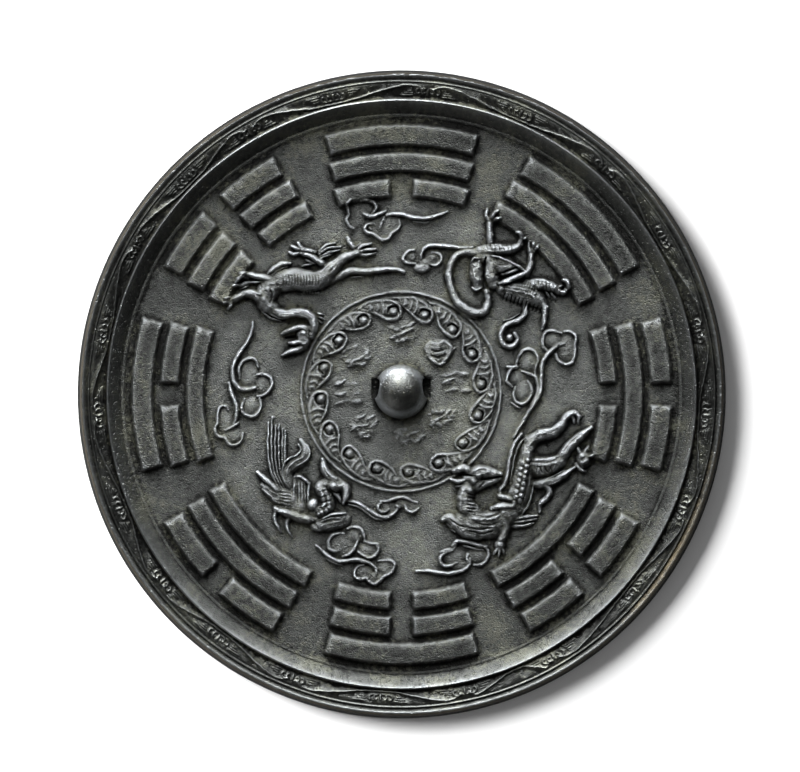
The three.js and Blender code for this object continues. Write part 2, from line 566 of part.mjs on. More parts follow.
// The clouds: ribbons as strokes and lobes as domes, in the same form as the animals.
const CLOUDS = [
  // above the tiger's tail
  {
    strokes: [
      [[[-12.6, 61.3], [-10.5, 60.4], [-8, 61.3], [-5, 61.2], [-1.5, 61.3], [3, 60.4], [7.5, 59.6], [11, 60.2],
        [15.4, 62.1]], [1.3, 1.6, 1.7, 1.6, 0.7], 1.4],
      [[[-18.6, 65.8], [-18, 62.8], [-19, 60], [-18.2, 57.3], [-16.4, 56.3]], [0.9, 1.4, 1.4, 1], 1.3],
    ],
    domes: [
      [-15.6, 61, 2.8, 3.4, 1],
      [-12.2, 63.6, 3.8, 2, 1],
      [-11, 56.3, 2.1, 2, 1.4],
      [-3.2, 57.3, 3, 2.5, 1.3],
      [-6.4, 54.6, 3.6, 2.5, 1.5],
    ],
  },
  // between the tiger's tail and the snake
  {
    strokes: [
      [[[7, 44], [6.8, 47], [8.2, 49.8], [11, 50.5], [15, 50.3], [19, 49.7], [23.8, 49.8]], [1.3, 1.5, 1.7, 1.5, 0.9],
        1.5],
    ],
    domes: [
      [2.4, 46.7, 2.6, 2.4, 1.3],
      [11.3, 46.2, 2.7, 2.4, 1.3],
      [7.1, 43.5, 3.2, 2, 1.4],
    ],
  },
  // right of the ring, with a ribbon that runs down towards the dragon
  {
    strokes: [
      [[[55, 17.4], [52.2, 16], [49.6, 13.8], [47.8, 11], [47.3, 6.5], [47.2, 2], [45.6, -2], [43, -5.7], [40.3, -10],
        [38.4, -13.2]], [1.6, 1.6, 1.5, 1.5, 1.3, 0.8], 1.4],
      [[[45.6, 11.6], [46, 8.6], [44.8, 6.2], [45.8, 2.6], [45.2, -1]], [1, 1.3, 1.3, 0.8], 1.2],
      [[[39.2, 9], [37, 8.2], [36, 5.4], [37.2, 3.2]], [1.6, 1.3, 0.8], 1.3],
    ],
    domes: [
      [51, 18.7, 3, 2.8, 1.3],
      [57, 19.1, 2.7, 2.3, 1.3],
      [56, 12.9, 3.4, 3.4, 1.3],
      [42.7, 12, 3.2, 3.2, 1.2],
      [42.6, 6.6, 3, 1.7, 1.3],
      [41.1, 0.3, 3.4, 3.9, 1.2],
    ],
  },
  // left of the ring
  {
    strokes: [
      [[[-50.4, 24.6], [-50.8, 21], [-52.5, 17.3], [-54.8, 14], [-56.8, 10.3], [-57.5, 6.8], [-56.6, 3.5],
        [-54, 1.3]], [0.9, 1.4, 1.5, 1.6, 1.3], 1.3],
      [[[-58.5, 4], [-57.6, 0.5], [-56.4, -2.5], [-56, -6], [-56.3, -9], [-58.4, -11]], [0.9, 1.4, 1.5, 1.2], 1.3],
    ],
    domes: [
      [-51.9, 6.9, 3.8, 4.9, 1.4],
      [-46.9, 3, 2.7, 3.3, 1.4],
      [-50.8, -4.6, 3.5, 3.5, 1.3],
      [-60.5, -8.2, 2.3, 4, 1.2],
      [-60.9, -12.6, 2.4, 2.1, 1.3],
      [-56.7, -15, 3.1, 2.9, 1.4],
    ],
  },
  // under the ring
  {
    strokes: [
      [[[-18.6, -36.3], [-15, -37], [-12, -38.9], [-9, -40.9], [-5.8, -41.7], [-2.8, -40.6], [-1, -38.4]],
        [0.9, 1.5, 1.7, 1.3], 1.3],
    ],
    domes: [
      [-5.4, -38.4, 2.5, 2, 1.2],
      [-0.7, -36.4, 2.2, 1.5, 1.2],
      [3.4, -38, 2.6, 2.1, 1],
    ],
  },
  // under the phoenix
  {
    strokes: [
      [[[-27.8, -51.8], [-25.5, -54.8], [-22, -56.7], [-18, -56.4], [-14, -56.5], [-10.5, -57.9], [-8.7, -60.4]],
        [0.9, 1.4, 1.5, 1.3], 1.3],
    ],
    domes: [
      [-20.3, -50.9, 4.8, 4.2, 1.4],
      [-15.4, -47.5, 2.9, 2.5, 1.4],
      [-11, -52.9, 3.5, 3, 1.3],
      [-13.4, -60.7, 3, 2.6, 1.4],
      [-5.1, -58.9, 3.5, 2.9, 1.4],
      [-9.4, -63, 3.1, 2.1, 1.5],
    ],
  },
  // under the dragon
  {
    strokes: [
      [[[17.4, -51.6], [20, -49.9], [24, -50.7], [28, -52], [29.6, -54.4], [28.6, -57.2]], [1.2, 1.5, 1.5, 1.2], 1.4],
      [[[3, -59.8], [8, -59.7], [13, -60.4], [18, -60.1], [21.7, -58.8], [23.1, -56]], [0.7, 1.3, 1.5, 1.3], 1.3],
    ],
    domes: [
      [16, -55.6, 3.9, 3, 1.3],
      [25.8, -54.8, 3.1, 2.9, 1],
    ],
  },
];

// The phoenix's tail feathers as strokes of the same form.
function tailFeathers() {
  return TAIL_FEATHER_TOPS.map((top, i) => {
    const x = TAIL_FEATHER_LEFT + i * TAIL_FEATHER_STEP;
    const path = [[x, top], [x - 0.1, -20], [x + 1.2 - i * 0.2, -27], [x + 4.2 - i * 0.4, -32.4]];
    return [path, TAIL_FEATHER_WIDTHS, TAIL_FEATHER_HEIGHT];
  });
}

// Makes all strokes and domes of one figure in the mirror's frame.
function figureGeometries(figure) {
  const place = (value) => value * FIGURE_SCALE;
  const strokes = figure.strokes.map(([path, widths, height]) => stroke(
    path.map(([x, y]) => [place(x), place(y)]),
    widths.map(place),
    height * FIGURE_RELIEF,
  ));
  const domes = figure.domes.map(([x, y, radiusX, radiusY, height]) => dome(
    place(x),
    place(y),
    place(radiusX),
    place(radiusY),
    height * FIGURE_RELIEF,
  ));
  return [...strokes, ...domes];
}

// Joins everything into the one casting.
function mirrorGeometry() {
  const relief = [
    ...trigramGeometries(),
    ringGeometry(),
    ...petalGeometries(),
    ...groupGeometries(),
    ...[TIGER, TORTOISE, DRAGON, PHOENIX, ...CLOUDS].flatMap(figureGeometries),
    ...figureGeometries({ strokes: tailFeathers(), domes: [] }),
  ];
  let casting = solidOf(discGeometry()).add(knobSolid());
  relief.forEach((geometry) => {
    casting = casting.add(solidOf(geometry));
  });
  const mesh = casting.getMesh();
  const geometry = new THREE.BufferGeometry();
  geometry.setAttribute('position', new THREE.BufferAttribute(new Float32Array(mesh.vertProperties), 3));
  geometry.setIndex(new THREE.BufferAttribute(new Uint32Array(mesh.triVerts), 1));
  geometry.computeVertexNormals();
  return geometry;
}

const bronze = new THREE.MeshStandardMaterial({ color: 0x2b2e2c, roughness: 0.42, metalness: 0.85 });
const mirror = new THREE.Mesh(mirrorGeometry(), bronze);
mirror.name = 'mirror';

const object = new THREE.Group();
object.add(mirror);

export default object;
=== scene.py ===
"""A cast bronze mirror with four animals and eight trigrams, lying decorated side up on a pale table."""

import logging
import math
from dataclasses import dataclass, field
from enum import Enum

import bpy
import numpy as np
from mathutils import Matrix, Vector


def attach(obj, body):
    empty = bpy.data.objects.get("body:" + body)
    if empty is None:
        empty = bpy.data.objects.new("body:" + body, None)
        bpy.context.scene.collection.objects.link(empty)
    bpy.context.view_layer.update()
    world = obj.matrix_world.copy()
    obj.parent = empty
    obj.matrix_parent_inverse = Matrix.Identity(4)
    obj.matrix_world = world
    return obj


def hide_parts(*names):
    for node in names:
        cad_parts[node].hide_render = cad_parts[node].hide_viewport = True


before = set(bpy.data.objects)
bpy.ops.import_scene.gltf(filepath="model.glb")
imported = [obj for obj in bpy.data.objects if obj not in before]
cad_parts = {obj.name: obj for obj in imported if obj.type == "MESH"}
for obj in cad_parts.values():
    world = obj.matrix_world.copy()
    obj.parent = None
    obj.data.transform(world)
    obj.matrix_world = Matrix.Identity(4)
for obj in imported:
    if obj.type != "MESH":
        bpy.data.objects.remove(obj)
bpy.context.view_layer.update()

LOG = logging.getLogger("bronze_mirror")
MM = 0.001
Point = tuple[float, float]
Stroke = tuple[list[Point], list[float], float]
Dome = tuple[float, float, float, float, float]
Bead = tuple[float, float, float, float]

# Sizes of the casting in millimetres, with heights above the reflecting face
FIELD_THICKNESS = 3.4
RIM_HEIGHT = 8.4
RIM_RADIUS = 110.0

# The inner group was cast a little off the rim's centre
CENTRE_SHIFT = np.array([-0.24, 0.9])

# Bodies of the figures spread this much wider than their widths say, towards their feet
BODY_SPREAD = 1.16

# The least length and the least weight that a value is divided by
TINY_LENGTH = 1e-6
TINY_WEIGHT = 1e-9


class Section(Enum):
    """How a raised form is rounded across its width: the exponent of its swell."""

    BODY = 0.62
    LINE = 0.8


class Join(Enum):
    """How a form meets what is already there: the higher of both, added on top, or cut into it."""

    OVER = "over"
    ON = "on"
    INTO = "into"


def spline(path: list[Point], step: float) -> tuple[np.ndarray, np.ndarray]:
    """Follows a centripetal Catmull-Rom curve through a few points.

    Args:
        path: Points that the curve passes, in millimetres.
        step: Greatest distance between two samples.

    Returns:
        The samples as an array of points, and each sample's share of the length.
    """
    points = np.array(path, float)
    first = 2 * points[0] - points[1]
    last = 2 * points[-1] - points[-2]
    knots = np.vstack([first, points, last])
    samples = []
    for a, b, c, d in zip(knots[:-3], knots[1:-2], knots[2:-1], knots[3:]):
        gaps = [max(float(np.linalg.norm(q - p)), TINY_LENGTH) ** 0.5 for p, q in ((a, b), (b, c), (c, d))]
        t0, t1 = 0.0, gaps[0]
        t2 = t1 + gaps[1]
        t3 = t2 + gaps[2]
        count = max(2, int(math.ceil(gaps[1] ** 2 / step)))
        t = np.linspace(t1, t2, count, endpoint=False)[:, None]
        ab = (t1 - t) / (t1 - t0) * a + (t - t0) / (t1 - t0) * b
        bc = (t2 - t) / (t2 - t1) * b + (t - t1) / (t2 - t1) * c
        cd = (t3 - t) / (t3 - t2) * c + (t - t2) / (t3 - t2) * d
        abc = (t2 - t) / (t2 - t0) * ab + (t - t0) / (t2 - t0) * bc
        bcd = (t3 - t) / (t3 - t1) * bc + (t - t1) / (t3 - t1) * cd
        samples.append((t2 - t) / (t2 - t1) * abc + (t - t1) / (t2 - t1) * bcd)
    samples.append(points[-1:])
    line = np.vstack(samples)
    lengths = np.concatenate([[0.0], np.cumsum(np.linalg.norm(np.diff(line, axis=0), axis=1))])
    return line, lengths / lengths[-1]


@dataclass
class CastingSurface:
    """The decorated side as rings of points whose heights the reliefs raise and cut, in millimetres."""

    fillet: float = 0.5
    end_share: float = 0.08
    end_height: float = 0.45
    grid_step: float = 0.5
    grid_reach: float = 111.0
    unevenness: float = 0.016
    wander: float = 0.055
    height_wander: float = 0.03
    wander_lengths: tuple[float, ...] = (2.3, 3.4, 5.3)
    wander_waves: int = 3
    wander_seed: int = 77
    ripple_lengths: tuple[float, ...] = (2.2, 2.9, 3.7, 5.1, 7.3, 11.0)
    ripple_waves: int = 4
    ripple_seed: int = 5
    shift_begins: float = 60.0
    shift_full: float = 40.0
    finest_step: float = 0.12
    step_share: float = 0.3
    cut_reach: float = 0.5
    least_cut: float = 0.25
    ring_zones: tuple[tuple[float, float, float], ...] = (
        (0.4, 8.4, 0.4),
        (8.4, 10.4, 0.16),
        (10.4, 66.0, 0.25),
        (66.0, 94.0, 0.3),
        (94.0, 110.0, 0.2),
    )
    sectors: tuple[tuple[float, int], ...] = (
        (4.5, 96),
        (9.0, 192),
        (18.0, 384),
        (30.0, 768),
        (94.0, 1536),
        (111.0, 3072),
    )
    radii: np.ndarray = field(init=False)
    counts: np.ndarray = field(init=False)
    x: np.ndarray = field(init=False)
    y: np.ndarray = field(init=False)
    z: np.ndarray = field(init=False)
    drift: np.ndarray = field(init=False)

    def __post_init__(self) -> None:
        """Lays out the rings, which follow the inner group's own centre near the middle."""
        radii = []
        for start, stop, step in self.ring_zones:
            count = int(round((stop - start) / step))
            radii.extend(np.linspace(start, stop, count, endpoint=False))
        radii.append(RIM_RADIUS)
        self.radii = np.array(radii)
        self.counts = np.array([next(n for limit, n in self.sectors if r <= limit) for r in radii])
        xs, ys = [np.array([CENTRE_SHIFT[0]])], [np.array([CENTRE_SHIFT[1]])]
        for radius, count in zip(self.radii, self.counts):
            angle = np.arange(count) * 2 * math.pi / count
            nearness = (self.shift_begins - radius) / (self.shift_begins - self.shift_full)
            shift = CENTRE_SHIFT * np.clip(nearness, 0, 1)
            xs.append(shift[0] + radius * np.cos(angle))
            ys.append(shift[1] + radius * np.sin(angle))
        self.x = np.concatenate(xs)
        self.y = np.concatenate(ys)
        self.z = np.full(len(self.x), FIELD_THICKNESS)
        self.drift = self.random_fields(3)

    def random_fields(self, count: int) -> np.ndarray:
        """Makes smooth random fields that pull outlines and heights out of true, as in a hand-cut mould.

        Args:
            count: How many fields are needed.

        Returns:
            One row for each field, with a value of about -2 to 2 at each point.
        """
        rng = np.random.default_rng(self.wander_seed)
        lengths = self.wander_lengths * self.wander_waves
        fields = np.zeros((count, len(self.x)))
        for row in fields:
            for length in lengths:
                row += self.wave(rng, length)
        return fields / math.sqrt(len(lengths) / 2)

    def wave(self, rng: np.random.Generator, length: float) -> np.ndarray:
        """Lets a wave cross the mirror in a random direction.

        Args:
            rng: What its bearing and phase are drawn from.
            length: The distance from crest to crest, in millimetres.

        Returns:
            Its height at each point, from -1 to 1.
        """
        bearing, phase = rng.uniform(0, 2 * math.pi, 2)
        across = self.x * math.cos(bearing) + self.y * math.sin(bearing)
        return np.sin(across * 2 * math.pi / length + phase)

    def triangles(self) -> np.ndarray:
        """Joins each ring to the next; where the count doubles, each edge meets two.

        Returns:
            The corners of each triangle, as indices of the points.
        """
        faces = []
        start = 1
        n = int(self.counts[0])
        j = np.arange(n)
        faces.append(np.stack([np.zeros(n, int), start + j, start + (j + 1) % n], 1))
        for inner, outer in zip(self.counts[:-1], self.counts[1:]):
            inner, outer = int(inner), int(outer)
            after = start + inner
            j = np.arange(inner)
            a, b = start + j, start + (j + 1) % inner
            if inner == outer:
                c, d = after + j, after + (j + 1) % outer
                faces.append(np.stack([a, c, d], 1))
                faces.append(np.stack([a, d, b], 1))
            else:
                c, m, d = after + 2 * j, after + 2 * j + 1, after + (2 * j + 2) % outer
                faces.append(np.stack([a, c, m], 1))
                faces.append(np.stack([a, m, b], 1))
                faces.append(np.stack([b, m, d], 1))
            start = after
        return np.vstack(faces)

    def levelled(self, blur: float) -> np.ndarray:
        """Averages the heights over their surroundings.

        Args:
            blur: Spread of the average, in millimetres.

        Returns:
            The averaged heights on a square grid over the whole mirror.
        """
        span = (-self.grid_reach, self.grid_reach)
        bins = int(2 * self.grid_reach / self.grid_step)
        place = (self.x, self.y)
        total = np.histogram2d(*place, bins=bins, range=(span, span), weights=self.z)[0]
        count = np.histogram2d(*place, bins=bins, range=(span, span))[0]
        reach = int(3 * blur / self.grid_step) + 1
        offset = np.arange(-reach, reach + 1) * self.grid_step
        bell = np.exp(-0.5 * (offset / blur) ** 2)
        for axis in (0, 1):
            total = np.apply_along_axis(np.convolve, axis, total, bell, "same")
            count = np.apply_along_axis(np.convolve, axis, count, bell, "same")
        return total / np.maximum(count, TINY_WEIGHT)

    def sample(self, grid: np.ndarray, x: np.ndarray, y: np.ndarray) -> np.ndarray:
        """Reads a grid over the mirror between its points.

        Args:
            grid: Values in the middles of square cells, as from levelled.
            x: Where to read it, in millimetres.
            y: The same places' second coordinate.

        Returns:
            One value for each place.
        """
        last = grid.shape[0] - 1.001
        u = np.clip((x + self.grid_reach) / self.grid_step - 0.5, 0, last)
        v = np.clip((y + self.grid_reach) / self.grid_step - 0.5, 0, last)
        i, j = u.astype(int), v.astype(int)
        u, v = u - i, v - j
        low = grid[i, j] * (1 - u) + grid[i + 1, j] * u
        high = grid[i, j + 1] * (1 - u) + grid[i + 1, j + 1] * u
        return low * (1 - v) + high * v

    def ripple(self) -> None:
        """Leaves the cast surface a little uneven, as it came out of the mould."""
        rng = np.random.default_rng(self.ripple_seed)
        swell = np.zeros(len(self.z))
        for length in self.ripple_lengths:
            for _ in range(self.ripple_waves):
                swell += self.unevenness * length / self.ripple_lengths[-1] * self.wave(rng, length)
        self.z += swell

    def near(self, low: np.ndarray, high: np.ndarray) -> np.ndarray:
        """Finds the points inside a box on the plan."""
        inside = (self.x > low[0]) & (self.x < high[0]) & (self.y > low[1]) & (self.y < high[1])
        return np.nonzero(inside)[0]

    def lay(self, index: np.ndarray, rise: np.ndarray, join: Join) -> None:
        """Adds a form's height to the surface.

        Args:
            index: The points that the form covers.
            rise: Its height over each of them.
            join: How it meets what is there.
        """
        here = self.z[index]
        if join is Join.ON:
            self.z[index] = here + rise
        elif join is Join.INTO:
            self.z[index] = here - rise * np.clip(here - FIELD_THICKNESS + self.cut_reach, self.least_cut, 1)
        else:
            rise = rise * (1 + self.height_wander * self.drift[2][index])
            there = here - FIELD_THICKNESS
            blend = self.fillet * np.clip(np.minimum(np.abs(there), rise) / self.fillet, 0, 1)
            overlap = np.maximum(blend - np.abs(there - rise), 0)
            soft = overlap**2 / np.maximum(4 * blend, TINY_LENGTH)
            self.z[index] = FIELD_THICKNESS + np.maximum(there, rise) + soft

    def stroke(
        self,
        path: list[Point],
        widths: list[float],
        height: float,
        section: Section = Section.BODY,
        join: Join = Join.OVER,
    ) -> None:
        """Sweeps a rounded stroke along a curve.

        Args:
            path: Points that the stroke passes.
            widths: Its widths, spread evenly from start to end.
            height: Its height in the middle; the ends are lower.
            section: How it is rounded across.
            join: How it meets what is there.
        """
        line, share = spline(path, max(self.finest_step, min(widths) * self.step_share))
        half = np.interp(share, np.linspace(0, 1, len(widths)), widths) / 2
        along = np.clip(share, self.end_share, 1 - self.end_share)
        level = np.minimum(1, self.end_height + np.sin(np.pi * along)) ** (1 / section.value)
        reach = half.max() + 3 * self.wander
        index = self.near(line.min(0) - reach, line.max(0) + reach)
        if not len(index):
            return
        swell = np.zeros(len(index))
        px = self.x[index] + self.wander * self.drift[0][index]
        py = self.y[index] + self.wander * self.drift[1][index]
        for (sx, sy), h, g in zip(line, half, level):
            close = 1 - ((px - sx) ** 2 + (py - sy) ** 2) / h**2
            np.maximum(swell, g * close, out=swell)
        hit = swell > 0
        self.lay(index[hit], height * swell[hit] ** section.value, join)

    def dome(
        self,
        x: float,
        y: float,
        across: float,
        up: float,
        height: float,
        join: Join = Join.OVER,
    ) -> None:
        """Raises a dome on an oval plan.

        Args:
            x: Its middle, in millimetres.
            y: The middle's second coordinate.
            across: Half its width along X.
            up: Half its width along Y.
            height: Its height in the middle.
            join: How it meets what is there.
        """
        reach = np.array([across, up])
        index = self.near(np.array([x, y]) - reach, np.array([x, y]) + reach)
        swell = 1 - ((self.x[index] - x) / across) ** 2 - ((self.y[index] - y) / up) ** 2
        hit = swell > 0
        self.lay(index[hit], height * swell[hit] ** Section.BODY.value, join)


@dataclass
class Rim:
    """The rim's turned profile and the vine scroll that runs round its band."""

    field_radius: float = 94.3
    slope_radius: float = 95.5
    thin_ridge_radius: float = 99.7
    band_inner: float = 100.4
    band_outer: float = 105.5
    groove_radius: float = 106.5
    outer_ridge: float = 108.7
    foot_height: float = 1.6
    band_floor: float = 6.6
    band_rise: float = 1.3
    vine_width: float = 0.8
    vine_height: float = 0.6
    leaf_height: float = 0.4
    crests: tuple[float, ...] = (5, 42, 78, 112, 150, 168, 201, 232, 266, 299, 330)
    troughs: tuple[float, ...] = (23, 59, 94, 130, 157.5, 184, 217, 248, 282, 315, 347)
    bare_trough: float = 157.5
    vine_reach: float = 0.22
    vine_top: float = 104.9
    vine_middle: float = 103.3
    vine_turn: float = 101.3
    vine_foot: float = 100.95
    crest_knot: float = 102.8
    trough_knot: float = 103.2
    near_curl: tuple[Point, ...] = ((0.7, -1.1), (1.7, -1.0), (2.2, -0.1), (1.7, 0.7), (1.1, 0.3))
    far_curl: tuple[Point, ...] = ((2.2, -1.2), (3.3, -1.0), (4.0, -0.2), (3.6, 0.7), (2.9, 0.5))
    fine_lines: int = 4

    def raise_profile(self, surface: CastingSurface) -> None:
        """Sets the heights outside the field: ledge, slope, thin ridge, band, outer ridge and edge.

        Args:
            surface: The decorated side.
        """
        band_top = self.band_floor + self.band_rise
        profile = [
            (self.field_radius - 0.3, FIELD_THICKNESS),
            (self.field_radius + 0.1, FIELD_THICKNESS + 0.45),
            (self.field_radius + 0.7, FIELD_THICKNESS + 0.55),
            (self.slope_radius - 0.25, FIELD_THICKNESS + 0.4),
            (self.slope_radius, FIELD_THICKNESS + 0.65),
            (self.thin_ridge_radius - 0.35, RIM_HEIGHT - 0.85),
            (self.thin_ridge_radius - 0.1, RIM_HEIGHT - 0.4),
            (self.thin_ridge_radius + 0.25, RIM_HEIGHT - 0.4),
            (self.band_inner, self.band_floor),
            (self.band_outer, band_top),
            (self.band_outer + 0.2, band_top - 0.25),
            (self.band_outer + 0.4, band_top + 0.25),
            (self.groove_radius - 0.25, band_top + 0.35),
            (self.groove_radius, band_top),
            (self.groove_radius + 0.2, RIM_HEIGHT - 0.75),
            (self.groove_radius + 1.4, RIM_HEIGHT),
            (self.outer_ridge - 0.2, RIM_HEIGHT),
            (self.outer_ridge + 0.2, RIM_HEIGHT - 0.35),
            (self.outer_ridge + 0.6, RIM_HEIGHT - 2.4),
            (RIM_RADIUS, self.foot_height),
        ]
        radius = np.hypot(surface.x, surface.y)
        outside = radius > profile[0][0]
        surface.z[outside] = np.interp(radius[outside], *zip(*profile))

    def on_band(self, angle: float, radius: float) -> Point:
        """Gives a point on the rim from its angle clockwise from the top, in degrees."""
        turn = math.radians(angle)
        return radius * math.sin(turn), radius * math.cos(turn)

    def beside(self, angle: float, radius: float, side: int, path: list[Point]) -> list[Point]:
        """Lays a small path out beside a point of the band.

        Args:
            angle: Where the path's origin lies, clockwise from the top in degrees.
            radius: How far the origin lies from the centre.
            side: 1 where the path's second axis points outwards, -1 where it points inwards.
            path: Points along the band and across it, in millimetres.

        Returns:
            The same points on the mirror.
        """
        return [self.on_band(angle + math.degrees(u / radius), radius + side * v) for u, v in path]

    def trace_vine(self, surface: CastingSurface) -> None:
        """Runs the vine from each knot under a crest, through a trough, to the next such knot.

        Args:
            surface: The decorated side.
        """
        for i, (start, low) in enumerate(zip(self.crests, self.troughs)):
            stop = self.crests[i + 1] if i + 1 < len(self.crests) else self.crests[0] + 360
            reach = self.vine_reach * (stop - start) / 2
            path = [
                (start + 0.8, 103.4),
                (start + 1.6, 104.4),
                (start + reach, self.vine_top),
                (start * 0.52 + low * 0.48, self.vine_middle),
                (low - reach, self.vine_turn),
                (low, self.vine_foot),
                (low + reach, self.vine_turn),
                (stop * 0.52 + low * 0.48, self.vine_middle),
                (stop - reach, self.vine_top),
                (stop - 1.6, 104.4),
                (stop - 0.8, 103.4),
            ]
            line = [self.on_band(*place) for place in path]
            surface.stroke(line, [self.vine_width] * 3, self.vine_height, Section.LINE, Join.ON)
            self.leaf_knot(surface, start, self.crest_knot, -1)
            if low != self.bare_trough:
                self.leaf_knot(surface, low, self.trough_knot, 1)

    def leaf_knot(self, surface: CastingSurface, angle: float, radius: float, side: int) -> None:
        """Raises the knot of curled leaves in a bend of the vine and the fine lines on both sides of it.

        Args:
            surface: The decorated side.
            angle: Where the knot lies, clockwise from the top in degrees.
            radius: How far it lies from the centre.
            side: 1 where its leaves open outwards, -1 where they open inwards.
        """
        heart = self.beside(angle, radius, side, [(0, -0.9), (0, 0.9)])
        surface.stroke(heart, [0.9, 1.1], self.leaf_height, Section.LINE, Join.ON)
        for way in (-1, 1):
            for curl in (self.near_curl, self.far_curl):
                path = self.beside(angle, radius, side, [(way * u, v) for u, v in curl])
                surface.stroke(path, [0.6, 0.65, 0.5], self.leaf_height, Section.LINE, Join.ON)
            for k in range(self.fine_lines):
                v = 1.2 - 0.75 * k
                start, stop = 4.9 + 0.3 * k, 9.4 - 1.2 * k
                path = self.beside(angle, radius, side, [(way * start, v), (way * stop, v + 0.1)])
                surface.stroke(path, [0.5, 0.4], self.leaf_height * 0.8, Section.LINE, Join.ON)


@dataclass
class Trigrams:
    """Eight groups of three arc-shaped bars, each whole or broken, listed clockwise from the top."""

    lines: tuple[tuple[int, int, int], ...] = (
        (1, 1, 0),
        (1, 1, 1),
        (0, 1, 0),
        (0, 0, 1),
        (1, 0, 0),
        (0, 1, 1),
        (1, 0, 1),
        (0, 0, 0),
    )
    outer_radius: float = 92.3
    widths: tuple[float, float, float] = (8.4, 7.6, 7.2)
    half_angles: tuple[float, float, float] = (17, 17.9, 18.9)
    height: float = 1.9
    gap: float = 1.3
    slope: float = 1.14
    line_break: float = 6.4
    spacing: float = 45.0
    inset: float = 0.12
    corner: float = 0.2
    corner_reach: float = 0.4
    shoulder: float = 0.1
    levels: tuple[float, float] = (0.95, 1.03)
    seed: int = 8

    def bars(self) -> list[tuple[float, float, float, float]]:
        """Lists every bar, also each half of a broken one.

        Returns:
            For each bar its outer and inner radius and its two end angles in degrees.
        """
        found = []
        for place, lines in enumerate(self.lines):
            middle = place * self.spacing
            outer = self.outer_radius
            for whole, width, half in zip(lines, self.widths, self.half_angles):
                inner = outer - width
                cut = 0 if whole else math.degrees(self.line_break / 2 / (outer - width / 2))
                spans = [(-half, half)] if whole else [(-half, -cut), (cut, half)]
                found += [(outer, inner, middle + a, middle + b) for a, b in spans]
                outer = inner - self.gap
        return found

    def shape(self, surface: CastingSurface) -> None:
        """Raises each bar with sloping sides, rounded shoulders and a slightly uneven outline.

        Args:
            surface: The decorated side.
        """
        rng = np.random.default_rng(self.seed)
        radius = np.hypot(surface.x, surface.y)
        bearing = np.degrees(np.arctan2(surface.x, surface.y))
        for outer, inner, start, stop in self.bars():
            middle = (start + stop) / 2
            offset = (bearing - middle + 180) % 360 - 180
            near = (radius > inner) & (radius < outer) & (np.abs(offset) < (stop - start) / 2)
            index = np.nonzero(near)[0]
            across = radius[index]
            along = np.radians(offset[index]) * across
            half_length = math.radians((stop - start) / 2) * across
            waves = rng.uniform(0, 2 * math.pi, 4)
            wobble = 0.05 * np.sin(along * 0.9 + waves[0]) + 0.04 * np.sin(along * 2.3 + waves[1])
            side = np.minimum(outer - across, across - inner) - self.inset + wobble
            end = half_length - np.abs(along) - self.inset + 0.06 * np.sin(across * 1.7 + waves[2])
            rounding = self.corner * np.exp(-np.abs(side - end) / self.corner_reach)
            share = np.clip((np.minimum(side, end) - rounding) / self.slope, 0, 1)
            crown = 0.04 * np.sin(along * 0.35 + waves[3]) + 0.02 * np.sin(along * 0.8 + across)
            level = self.height * rng.uniform(*self.levels)
            rise = level * ((1 + self.shoulder) * share - self.shoulder * share**6) + crown * share
            hit = share > 0
            surface.lay(index[hit], np.maximum(rise[hit], 0), Join.ON)


